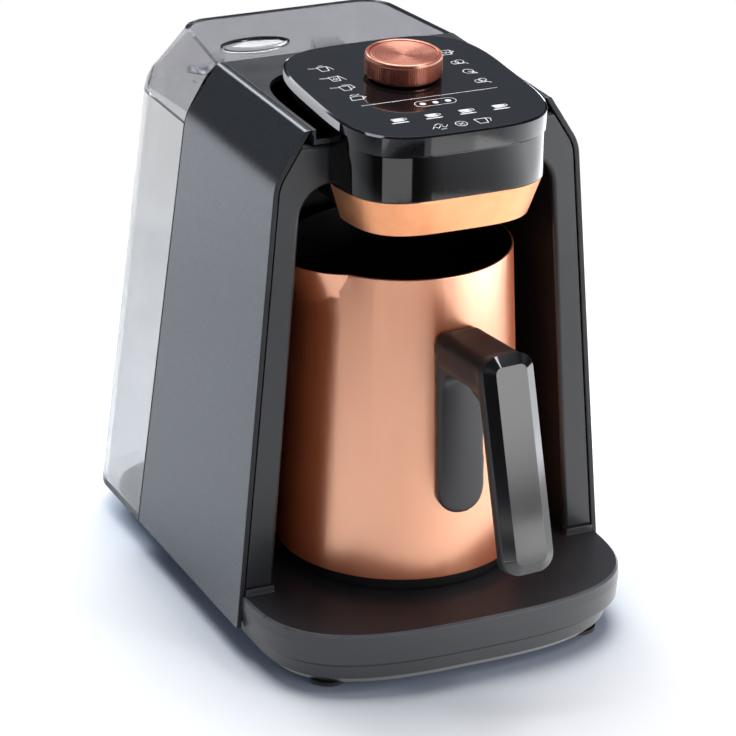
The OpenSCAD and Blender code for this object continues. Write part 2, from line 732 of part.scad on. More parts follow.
// Hose as straight runs joined by round bends
function unit(v) = v/norm(v);
function turn_at(p, i) = acos(unit(p[i] - p[i - 1])*unit(p[i + 1] - p[i]));
function trim_at(p, i, bend) =
    i == 0 || i == len(p) - 1 ? 0 : bend*tan(turn_at(p, i)/2) - 0.4;
module hose(p, r, bend) {
    for (i = [0:len(p) - 2]) {
        u = unit(p[i + 1] - p[i]);
        from = p[i] + u*trim_at(p, i, bend);
        run = norm(p[i + 1] - p[i]) - trim_at(p, i, bend) - trim_at(p, i + 1, bend);
        translate(from) rotate([0, acos(u[2]), atan2(u[1], u[0])]) cylinder(r = r, h = run);
    }
    for (i = [1:len(p) - 2]) {
        u = unit(p[i] - p[i - 1]);
        n = unit(cross(u, p[i + 1] - p[i]));
        x = -cross(n, u);
        c = p[i] - u*bend*tan(turn_at(p, i)/2) - x*bend;
        multmatrix([[x[0], u[0], n[0], c[0]], [x[1], u[1], n[1], c[1]], [x[2], u[2], n[2], c[2]],
            [0, 0, 0, 1]])
            rotate_extrude(angle = turn_at(p, i)) translate([bend, 0]) circle(r + 0.04, $fn = 32);
    }
}
hose_z = pan_low_z + pan_floor_t + hose_r + 0.6;
module inlet_hose() placed() color("#c9ccd0") hose([
    [valve_x, valve_y - 10.2, hose_z], [valve_x, seam_reach - 7, hose_z], [pump_x, pump_y, hose_z + 1],
    [pump_x, pump_y, tray_z + 1]], hose_r, 6);
hose_top_z = body_top_z - 16;
hose_in_x = body_top_w/2 - 11;
hose_in_y = seam_reach - 35;
hose_in_z = rise_top + 54;
module outlet_hose() placed() color("#c9ccd0") hose([
    [pump_x + pump_r + 2.1, pump_y, port_z], [rise_x, pump_y, port_z],
    [rise_x, pump_y, rise_top], [hose_in_x, hose_in_y, hose_in_z],
    [hose_in_x, hose_in_y, hose_top_z], [0, nozzle_y + 16, hose_top_z],
    [0, nozzle_y, hose_top_z], [0, nozzle_y, underside_z + 12.1]], hose_r, 6);

// ---------------------------------------------------------------- tank

tank_low_z = body_bottom_z;
function tank_back(z) =
    tank_reach - tank_back_in*(z - tank_low_z)/(tank_top_z - tank_low_z);

// Plan of the tank at a height, moved in by inset
module tank_plan(z, inset, corner) {
    w = half_w(z) - inset;
    front = seam_y(z) + tank_gap + inset;
    back = tank_back(z) - inset;
    translate([-w, front]) square([2*w, back - corner - front]);
    translate([corner - w, front]) square([2*(w - corner), back - front]);
    for (side = [-1, 1]) translate([side*(w - corner), back - corner]) circle(corner, $fn = 96);
}
module tank_solid(inset, low, high) hull() {
    slab(low, low + 0.4) tank_plan(low, inset, tank_corner_r - inset);
    slab(high - 0.4, high) tank_plan(high, inset, tank_corner_r - inset);
}

tank_floor_z = tank_low_z + 2.4;
hinge_x = 30;
hinge_r = 3.2;
hinge_y = tank_back(tank_top_z) + hinge_r + 0.6;
hinge_z = tank_top_z + 0.2;
hinge_pin_r = 1.5;

module water_tank() placed() color(smoke) difference() {
    union() {
        difference() {
            tank_solid(0, tank_low_z, tank_top_z);
            tank_solid(tank_wall, tank_floor_z, tank_top_z + 0.5);
        }
        // hinge ears
        for (side = [-1, 1], x = [-6.3, 2.3]) translate([side*hinge_x + x, 0, 0]) {
            box(0, 4, hinge_y - hinge_r - 2.2, hinge_y, hinge_z - 6, hinge_z - 1.5);
            translate([0, hinge_y, hinge_z]) rotate([0, 90, 0]) cylinder(r = hinge_r, h = 4);
        }
    }
    for (side = [-1, 1]) translate([side*hinge_x - 9, hinge_y, hinge_z]) rotate([0, 90, 0])
        cylinder(r = hinge_pin_r + 0.02, h = 18);
    translate([valve_x, valve_y, 0]) cylinder(r = 12.1, h = 60);
    // the ears stay clear of the lid
    translate([0, 0, tank_top_z]) tank_lid_cut();
}
module tank_lid_cut() translate([-60, hinge_y - hinge_r - 8, 0]) cube([120, 8 - 0.2, 10]);

module hinge_pins() placed() color(steel) for (side = [-1, 1])
    translate([side*hinge_x - 6.4, hinge_y, hinge_z]) rotate([0, 90, 0])
        cylinder(r = hinge_pin_r, h = 12.8);

lid_low_z = tank_top_z + tank_gap;
lid_top_z = body_top_z - 1;
fold_cut = fold_r*(1/cos((shoulder_angle - side_angle)/2) - 1);
// Slice of the lid: half width at the seam, reach of its back, narrowing towards the back, corner
module lid_slice(z, w, back, narrow, corner) {
    front = seam_y(fold_z);
    slope = narrow/(back - front);
    slab(z, z + 0.01) hull() {
        polygon([[-w - 20*slope, front - 20], [w + 20*slope, front - 20],
            [w - 30*slope, front + 30], [-w + 30*slope, front + 30]]);
        for (side = [-1, 1]) translate([side*(w - narrow + corner*slope - corner), back - corner])
            circle(corner);
    }
}
lid_back = tank_back(tank_top_z);
module lid_solid(inset, low, top) hull() {
    lid_slice(low, half_w(lid_low_z) - inset, lid_back - inset, 0, tank_corner_r - inset);
    lid_slice(fold_z, half_w(fold_z) - fold_cut - inset, lid_back - 0.9 - inset, 0.3,
        tank_corner_r - 0.5 - inset);
    lid_slice(fold_z + 5, shoulder_x(fold_z + 5, 0) - inset, lid_back - 2.6 - inset, 1.6,
        tank_corner_r - 3 - inset);
    lid_slice(top, shoulder_x(lid_top_z, 0) - 0.6 - inset, lid_back - lid_back_in - inset, 8.4,
        lid_corner_r - inset);
}
lid_back_in = 11;
// Shallow bowl for the finger, let into the lid
scoop_x = -31;
scoop_back = 22;
module scoop(grow) translate([scoop_x, seam_y(lid_top_z) + scoop_back, lid_top_z + 0.6])
    scale([17 + grow, 9.5 + grow, 4.6 + grow]) sphere(1);
module tank_lid() placed() color(smoke) difference() {
    union() {
        difference() {
            intersection() {
                lid_solid(0, lid_low_z, lid_top_z);
                behind_seam(tank_gap, 0, 400);
            }
            difference() {
                lid_solid(tank_wall, lid_low_z - 0.5, lid_top_z - tank_wall);
                scoop(1.6);
            }
        }
        // hinge knuckles
        for (side = [-1, 1]) translate([side*hinge_x - 2, 0, 0]) {
            box(0, 4, hinge_y - hinge_r - 2.4, hinge_y, hinge_z + 1.2, hinge_z + 3);
            translate([0, hinge_y, hinge_z]) rotate([0, 90, 0]) cylinder(r = hinge_r - 0.2, h = 4);
        }
    }
    scoop(0);
    for (side = [-1, 1]) translate([side*hinge_x - 9, hinge_y, hinge_z]) rotate([0, 90, 0])
        cylinder(r = hinge_pin_r + 0.05, h = 18);
}

latch_x = 1.5;
latch_w = 14.4;
module lid_latch() placed() color([0.6, 0.62, 0.65, 0.8])
    translate([latch_x, seam_y(lid_top_z) + tank_gap + 3, 0]) difference() {
        box(-latch_w/2, latch_w/2, 0, 10, lid_top_z - tank_wall - 2.1, lid_top_z - tank_wall - 0.1);
        box(1.6 - latch_w/2, latch_w/2 - 1.6, 1.6, 8.4, 0, 400);
    }

valve_floor = tank_floor_z;
seat_z = deck_z + 8.4;
module valve_body() placed() color(white) translate([valve_x, valve_y, 0]) difference() {
    union() {
        translate([0, 0, tank_low_z + 0.3]) cylinder(r = 12, h = seat_z + 2 - tank_low_z - 0.3);
        translate([0, 0, valve_floor + 0.1]) cylinder(r = 15, h = 1.6);
    }
    translate([0, 0, 0]) cylinder(r = 7, h = seat_z);
    cylinder(r = 3.4, h = 60);
}
plunger_z = seat_z + 4;
pin_top_z = deck_z + 6.4;
module valve_plunger() placed() color("#c8502e") translate([valve_x, valve_y, 0]) {
    translate([0, 0, plunger_z]) cylinder(r = 5.4, h = 2);
    translate([0, 0, plunger_z + 1]) cylinder(r = 1.4, h = 10.4);
    translate([0, 0, pin_top_z + 0.1]) cylinder(r = 1, h = plunger_z - pin_top_z);
}
spring_r = 2.7;
spring_wire = 0.42;
spring_h = 6.2;
function coil(t) = [spring_r*cos(t*360), spring_r*sin(t*360),
    spring_wire + (spring_h - 2*spring_wire)*t/4];
module valve_spring() placed() color(steel) translate([valve_x, valve_y, plunger_z + 2.05])
    for (i = [0:47]) hull() {
        translate(coil(i/12)) sphere(spring_wire, $fn = 8);
        translate(coil((i + 1)/12)) sphere(spring_wire, $fn = 8);
    }

basket_r = 10;
basket_top = plunger_z + 9.9;
module filter_basket() placed() color("#dfe3e6") translate([valve_x, valve_y, 0]) difference() {
    translate([0, 0, seat_z + 2.1]) cylinder(r = basket_r, h = basket_top - seat_z - 2.1);
    translate([0, 0, seat_z]) cylinder(r = basket_r - 1.2, h = basket_top - seat_z - 1.4);
    cylinder(r = 1.45, h = 100);
    for (a = [0:45:135]) rotate([0, 0, a]) translate([-20, -1.6, seat_z + 3.6])
        cube([40, 3.2, 5]);
}

// ---------------------------------------------------------------- pot

module pot_place() placed() rotate([0, 0, pot_turn]) children();
pot_floor_z = pot_low_z + 17;
lip_r = 30;
module pot_cone(grow, low, high)
    translate([0, 0, low]) cylinder(r1 = pot_r(low) + grow, r2 = pot_r(high) + grow, h = high - low);
// Round that starts just inside the wall and leans out to the pouring lip
module pot_lip(inset, grow) {
    low = pot_rim_z - lip_h;
    start = pot_r(low) - 0.8 - lip_r;
    lean = (pot_rim_d/2 + lip_reach - lip_r - start)/lip_h;
    multmatrix([[1, 0, -lean, -start], [0, 1, 0, 0], [0, 0, 1, low], [0, 0, 0, 1]])
        cylinder(r = lip_r - inset, h = lip_h + grow);
}
module pot_body() pot_place() color(copper) difference() {
    union() {
        pot_cone(0, pot_low_z, pot_rim_z);
        pot_lip(0, 0);
    }
    pot_cone(-pot_wall, pot_floor_z, pot_rim_z + 1);
    pot_lip(pot_wall, 1);
    pot_cone(-pot_wall, pot_low_z - 1, pot_floor_z - 1.2);
}

contact_r = connector_r + 4.5;
socket_r = connector_r + 0.8;
module pot_base() pot_place() color(black) difference() {
    union() {
        translate([0, 0, pot_z]) cylinder(r1 = pot_low_d/2 - 3, r2 = pot_low_d/2 - 2.2, h = pot_ring_h - 0.3);
        pot_cone(-pot_wall - 0.2, pot_low_z - 0.5, pot_low_z + 8);
    }
    translate([0, 0, pot_z + 3]) cylinder(r = pot_low_d/2 - 7, h = 40);
    translate([0, 0, pot_z - 1]) cylinder(r = contact_r + 0.2, h = 40);
}
module pot_contact() pot_place() color("#3b3b3d") difference() {
    union() {
        translate([0, 0, pot_z + 0.6]) cylinder(r = contact_r, h = 13.4);
        translate([0, 0, pot_z + 3.1]) cylinder(r = contact_r + 6, h = 2);
    }
    translate([0, 0, pot_z - 1]) cylinder(r = socket_r, h = 12);
}
module pot_heater() pot_place() color("#c4c6c8") {
    translate([0, 0, pot_z + 14.2]) cylinder(r = 40, h = pot_floor_z - 1.2 - pot_z - 14.2 - 0.1);
    translate([0, 0, pot_z + 11.5]) rotate_extrude() translate([32, 0]) circle(3, $fn = 24);
}

pad_mid_z = handle_z - pad_h/2;
module pad_outline(w, h) translate([0, pad_mid_z]) round_rect(w, h, min(w/2 - 1, 13));
module handle_bracket() pot_place() color(steel) intersection() {
    difference() {
        pot_cone(1.5, pot_low_z + 5, pot_rim_z - 5);
        pot_cone(0.1, pot_low_z + 4, pot_rim_z - 4);
    }
    along_y(-90, 0) translate([0, pad_mid_z]) square([pad_w - 12, pad_h - 26], center = true);
}

// Frame of the grip: -Z runs down along it, -Y faces out
grip_rise = 2.2;
module grip_frame() translate([0, -grip_r, handle_z + grip_rise]) rotate([-grip_lean, 0, 0]) children();
// Web in the corner between two faces of the handle, seen from the side
underarm_z = handle_z - arm_h;
grip_web_r = 10;
pad_web_r = 6;
grip_web_z = underarm_z - grip_web_r;
grip_web_y = -grip_r + (grip_t/2 + grip_web_r)/cos(grip_lean)
    - (handle_z + grip_rise - grip_web_z)*tan(grip_lean);
pad_face = pot_r(underarm_z) + pad_t;
module handle_webs() along_x(-arm_w/2 + 1.5, arm_w/2 - 1.5) {
    difference() {
        polygon([[grip_web_y, underarm_z + 3], [grip_web_y - 14, underarm_z + 3],
            [grip_web_y - grip_web_r*cos(grip_lean) - 3, grip_web_z + grip_web_r*sin(grip_lean) - 1],
            [grip_web_y - grip_web_r*cos(grip_lean) + 2, grip_web_z + grip_web_r*sin(grip_lean) - 1],
            [grip_web_y - 1, grip_web_z + grip_web_r - 1], [grip_web_y, grip_web_z + grip_web_r]]);
        translate([grip_web_y, grip_web_z]) circle(grip_web_r);
    }
    difference() {
        translate([-pad_face - pad_web_r, underarm_z - pad_web_r]) square([pad_web_r + 2, pad_web_r + 3]);
        translate([-pad_face - pad_web_r, underarm_z - pad_web_r]) circle(pad_web_r);
    }
}
arm_rise = 2.4;
shell_split = grip_t/2 - shell_t;
module grip_outline(inset) translate([0, -grip_l/2])
    round_rect(grip_w - 2*inset, grip_l - 2*inset, grip_corner - inset);
// Inner half of the grip, rounded towards the pot
module grip_half() intersection() {
    translate([0, 0, -grip_l]) linear_extrude(grip_l) union() {
        round_rect(grip_w, grip_t, 5);
        translate([-grip_w/2, -grip_t/2]) square([grip_w, grip_t/2]);
    }
    along_x(-50, 50) translate([0, -grip_l/2]) union() {
        round_rect(grip_t, grip_l, 6);
        translate([-grip_t/2, -grip_l/2]) square([grip_t/2, grip_l]);
    }
    along_y(-shell_split, 50) grip_outline(0);
}
module handle_body() pot_place() color("#2f2f31") difference() {
    union() {
        intersection() {
            difference() {
                pot_cone(pad_t, pot_low_z + 2, pot_rim_z);
                pot_cone(0.2, pot_low_z, pot_rim_z + 1);
            }
            along_y(-90, 0) pad_outline(pad_w, pad_h);
        }
        difference() {
            union() {
                translate([0, -pad_face, underarm_z]) rotate([-arm_rise, 0, 0])
                    along_y(-grip_r - 2 + pad_face, pad_face - 30)
                    translate([0, arm_h/2]) round_rect(arm_w, arm_h, 5);
                handle_webs();
            }
            pot_cone(0.2, pot_low_z, pot_rim_z + 1);
        }
        grip_frame() grip_half();
        grip_frame() translate([-grip_w/2 + 4, -shell_split - 2, -grip_l + 8])
            cube([grip_w - 8, 3, grip_l - 16]);
    }
    difference() {
        pot_cone(1.7, pot_low_z + 5, pot_rim_z - 5);
        pot_cone(0, pot_low_z + 4, pot_rim_z - 4);
        along_y(-90, 0) difference() {
            translate([-100, 0]) square([200, 400]);
            translate([0, pad_mid_z]) square([pad_w - 11.6, pad_h - 25.6], center = true);
        }
    }
}
module handle_shell() pot_place() color("#55585c") grip_frame() difference() {
    hull() {
        along_y(-grip_t/2 + bevel_h, -shell_split - 0.1) grip_outline(0);
        along_y(-grip_t/2, -grip_t/2 + 0.1) grip_outline(bevel_w, $fn = 48);
    }
    translate([-grip_w/2 + 3.85, -shell_split - 2.2, -grip_l + 7.85]) cube([grip_w - 7.7, 4, grip_l - 15.7]);
}

base_pan();
rubber_feet();
base_tray();
base_screws();
side_panel_left();
side_panel_right();
front_fascia();
bay_liner();
rear_chassis();
top_cover();
panel_frame();
control_panel();
head_housing();
head_trim();
head_underside();
water_nozzle();
sensor_housing();
sensor_lens();
touch_board();
touch_springs();
encoder_body();
encoder_shaft();
knob();
power_board();
board_parts();
pump_motor();
pump_head();
pump_mount();
inlet_socket();
inlet_seal();
inlet_hose();
outlet_hose();
pot_connector();
cord_gland();
water_tank();
valve_body();
filter_basket();
valve_plunger();
valve_spring();
tank_lid();
lid_latch();
hinge_pins();
pot_body();
pot_base();
pot_contact();
pot_heater();
handle_bracket();
handle_body();
handle_shell();
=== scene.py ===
import json
import math

import bmesh
import bpy
from mathutils import Matrix, Vector


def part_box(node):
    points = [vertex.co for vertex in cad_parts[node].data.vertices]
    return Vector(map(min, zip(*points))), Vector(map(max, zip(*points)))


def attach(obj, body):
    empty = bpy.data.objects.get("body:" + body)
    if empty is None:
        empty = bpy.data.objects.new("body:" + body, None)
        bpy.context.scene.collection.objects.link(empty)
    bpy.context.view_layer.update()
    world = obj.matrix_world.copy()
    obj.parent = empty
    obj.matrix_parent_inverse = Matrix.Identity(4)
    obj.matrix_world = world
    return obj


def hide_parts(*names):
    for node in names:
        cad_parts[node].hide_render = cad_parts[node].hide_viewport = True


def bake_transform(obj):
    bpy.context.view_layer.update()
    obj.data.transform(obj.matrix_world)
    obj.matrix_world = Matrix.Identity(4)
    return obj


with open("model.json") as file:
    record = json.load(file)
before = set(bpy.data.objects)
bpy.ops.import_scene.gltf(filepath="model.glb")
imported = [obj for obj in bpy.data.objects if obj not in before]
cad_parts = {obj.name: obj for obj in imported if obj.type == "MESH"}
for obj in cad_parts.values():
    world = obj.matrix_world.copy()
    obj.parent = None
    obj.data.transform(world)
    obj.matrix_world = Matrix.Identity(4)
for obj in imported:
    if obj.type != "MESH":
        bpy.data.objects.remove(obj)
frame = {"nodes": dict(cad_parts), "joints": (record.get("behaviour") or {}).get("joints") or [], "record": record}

bl_info = {
    "name": "Electric coffee maker with pot",
    "version": (1, 0, 0),
    "blender": (4, 5, 0),
    "location": "3D View > Sidebar > Coffee Maker",
    "description": "Finishes and finely modelled pieces for an electric coffee maker with a copper pot",
    "category": "Add Mesh",
}

MM = 0.001
UP = Vector((0, 0, 1))
# points closer than this are one point, in metres
SAME_PLACE = 2e-6
# faces of a solid that turn by less than this are one flat face, in degrees
FLAT = 0.4


# ------------------------------------------------------------------ colours and nodes


def linear(code):
    """An sRGB hex colour as linear red, green, blue and alpha."""
    parts = [int(code[i : i + 2], 16) / 255 for i in (1, 3, 5)]
    return tuple(c / 12.92 if c <= 0.04045 else ((c + 0.055) / 1.055) ** 2.4 for c in parts) + (1.0,)


def add(tree, kind, inputs=(), **settings):
    """One node with its settings; each input is a value or another node's socket."""
    made = tree.nodes.new("ShaderNode" + kind)
    for key, value in settings.items():
        setattr(made, key, value)
    for key, value in dict(inputs).items():
        socket = made.inputs[key]
        if isinstance(value, bpy.types.NodeSocket):
            tree.links.new(value, socket)
        else:
            socket.default_value = value
    return made


def combine(tree, operation, *values):
    """What a Math node makes of numbers or sockets."""
    return add(tree, "Math", dict(enumerate(values)), operation=operation).outputs[0]


def product(tree, first, *others):
    """Numbers or sockets multiplied with one another."""
    for other in others:
        first = combine(tree, "MULTIPLY", first, other)
    return first


def blank(name):
    """An empty material: itself, its tree, the socket that it ends in and the object's coordinates."""
    made = bpy.data.materials.new(name)
    made.use_nodes = True
    tree = made.node_tree
    tree.nodes.clear()
    out = tree.nodes.new("ShaderNodeOutputMaterial").inputs[0]
    return made, tree, out, add(tree, "TexCoord").outputs["Object"]


def noise(tree, place, grain, detail=2.0, stretch=(1, 1, 1)):
    """Noise whose grains are this many mm wide, drawn out by stretch."""
    scale = tuple(1 / (grain * MM * s) for s in stretch)
    mapped = add(tree, "Mapping", {"Vector": place, "Scale": scale}).outputs[0]
    return add(tree, "TexNoise", {"Vector": mapped, "Scale": 1.0, "Detail": detail}).outputs[0]


def spread(tree, value, low, high, start=0.3, end=0.7):
    """A pattern turned into values from low at start to high at end."""
    return add(
        tree,
        "MapRange",
        {"Value": value, "From Min": start, "From Max": end, "To Min": low, "To Max": high},
    ).outputs[0]


def two_tones(tree, pattern, dark, pale):
    """A colour between two hex values, by a pattern."""
    mixed = add(tree, "Mix", {0: pattern, 6: linear(dark), 7: linear(pale)}, data_type="RGBA")
    return mixed.outputs[2]


def bumped(tree, height, depth):
    """A normal that follows a pattern this many mm deep."""
    return add(tree, "Bump", {"Strength": 1.0, "Distance": depth * MM, "Height": height}).outputs[0]


def mixed_shader(tree, share, first, second):
    """Two shaders mixed: a share of 0 is the first alone, and 1 is the second."""
    return add(tree, "MixShader", {0: share, 1: first, 2: second}).outputs[0]


def surface(
    name, dark, pale, rough, grain, depth, metallic=0.0, ior=1.5, mottle=14.0, rough_spread=0.04,
    stretch=(1, 1, 1), **sockets
):
    """A finish with a fine grain: two near tones, a mottled roughness and a shallow bump, sizes in mm.
    More of the shader's sockets are given by name, with _ for a space."""
    made, tree, out, place = blank(name)
    cloud = noise(tree, place, mottle, 3.0)
    fine = noise(tree, place, grain, 2.0, stretch)
    shader = add(
        tree,
        "BsdfPrincipled",
        {
            "Base Color": two_tones(tree, spread(tree, cloud, 0, 1), dark, pale),
            "Roughness": spread(tree, cloud, rough - rough_spread, rough + rough_spread),
            "Metallic": metallic,
            "IOR": ior,
            "Normal": bumped(tree, fine, depth),
            **{key.replace("_", " "): value for key, value in sockets.items()},
        },
    )
    tree.links.new(shader.outputs[0], out)
    return made


# ------------------------------------------------------------------ finishes


def metallic_lacquer():
    """Satin metallic lacquer on moulded ABS: aluminium flakes under a clear coat give a dark grey that
    turns pale where it mirrors the room, with a fine sparkle."""
    made, tree, out, place = blank("satin_metallic_lacquer")
    # flakes are 0.03 mm wide, drawn 0.3 mm wide so that they show
    flake = 0.3 * MM
    flakes = add(tree, "TexVoronoi", {"Vector": place, "Scale": 1 / flake}).outputs["Color"]
    value = add(tree, "SeparateColor", {"Color": flakes}).outputs[0]
    orange_peel = noise(tree, place, 2.2)
    shader = add(
        tree,
        "BsdfPrincipled",
        {
            "Base Color": two_tones(tree, value, "#595c61", "#666a6f"),
            "Metallic": 0.85,
            "Roughness": spread(tree, value, 0.27, 0.33, 0, 1),
            "Normal": bumped(tree, orange_peel, 0.002),
        },
    )
    tree.links.new(shader.outputs[0], out)
    return made


def gloss_plastic(name, dark, pale, ior):
    """Polished moulding: a deep, even tone and sharp reflections over a faint ripple from the mould."""
    made, tree, out, place = blank(name)
    ripple = noise(tree, place, 9, 1.0)
    dust = noise(tree, place, 0.8, 3.0)
    shader = add(
        tree,
        "BsdfPrincipled",
        {
            "Base Color": two_tones(tree, spread(tree, ripple, 0, 1), dark, pale),
            "Roughness": spread(tree, dust, 0.03, 0.09),
            "IOR": ior,
            "Normal": bumped(tree, ripple, 0.003),
        },
    )
    tree.links.new(shader.outputs[0], out)
    return made


def brushed_copper():
    """Steel brushed up and down the pot under a copper-toned lacquer: the pigment keeps the shaded side a
    deep red-brown, and the metal under it draws soft bands up and down the wall."""
    made, tree, out, place = blank("copper_lacquer_on_brushed_steel")
    # brush lines are 0.05 mm apart, drawn 0.25 mm apart
    lines = noise(tree, place, 0.25, 3.0, stretch=(1, 1, 160))
    cloud = noise(tree, place, 30)
    normal = bumped(tree, lines, 0.0002)
    outwards = add(tree, "NewGeometry").outputs["Normal"]
    around = add(tree, "VectorMath", {0: outwards, 1: tuple(UP)}, operation="CROSS_PRODUCT").outputs[0]
    metal = add(
        tree,
        "BsdfPrincipled",
        {
            "Base Color": two_tones(tree, cloud, "#f3bfa0", "#f9c8ab"),
            "Metallic": 1.0,
            "Roughness": 0.28,
            "Anisotropic": 0.4,
            "Anisotropic Rotation": 0.0,
            "Tangent": around,
            "Normal": normal,
        },
    ).outputs[0]
    red_brown = two_tones(tree, cloud, "#ee7846", "#f57f4c")
    pigment = add(tree, "BsdfDiffuse", {"Color": red_brown, "Normal": normal}).outputs[0]
    tree.links.new(mixed_shader(tree, 0.42, metal, pigment), out)
    return made


def turned_copper():
    """Anodised aluminium turned on a lathe: rings round the knob's axis spread the light into rays."""
    made, tree, out, place = blank("turned_copper_aluminium")
    axis, centre = knob_axis()
    offset = add(tree, "VectorMath", {0: place, 1: tuple(centre)}, operation="SUBTRACT").outputs[0]
    # runs round the axis, and is as long as the distance from it
    around = add(tree, "VectorMath", {0: offset, 1: tuple(axis)}, operation="CROSS_PRODUCT").outputs[0]
    radius = add(tree, "VectorMath", {0: around}, operation="LENGTH").outputs["Value"]
    # tool lines are 0.04 mm apart, drawn 0.2 mm apart
    rings = noise(tree, add(tree, "CombineXYZ", {"X": radius}).outputs[0], 0.2)
    normal = bumped(tree, rings, 0.003)
    metal = add(
        tree,
        "BsdfPrincipled",
        {
            "Base Color": two_tones(tree, spread(tree, rings, 0, 1), "#d08f7b", "#ecb49f"),
            "Metallic": 1.0,
            "Roughness": spread(tree, rings, 0.24, 0.32),
            "Anisotropic": 0.85,
            "Anisotropic Rotation": 0.25,
            "Tangent": around,
            "Normal": normal,
        },
    ).outputs[0]
    red = two_tones(tree, rings, "#b9604a", "#c96f57")
    dye = add(tree, "BsdfDiffuse", {"Color": red, "Normal": normal}).outputs[0]
    tree.links.new(mixed_shader(tree, 0.3, metal, dye), out)
    return made


def smoked_clear(name, dark, pale):
    """Smoke-tinted clear moulding: it greys what lies behind it, and the light that falls through it
    onto the table stays bright."""
    made, tree, out, place = blank(name)
    ripple = noise(tree, place, 12)
    tinted = add(
        tree,
        "BsdfPrincipled",
        {
            "Base Color": two_tones(tree, spread(tree, ripple, 0, 1), dark, pale),
            "Roughness": spread(tree, ripple, 0.04, 0.08),
            "IOR": 1.49,
            "Transmission Weight": 1.0,
            "Normal": bumped(tree, ripple, 0.01),
        },
    ).outputs[0]
    through = add(tree, "BsdfTransparent", {"Color": linear("#e9ebee")}).outputs[0]
    shadow = add(tree, "LightPath").outputs["Is Shadow Ray"]
    tree.links.new(mixed_shader(tree, shadow, tinted, through), out)
    return made


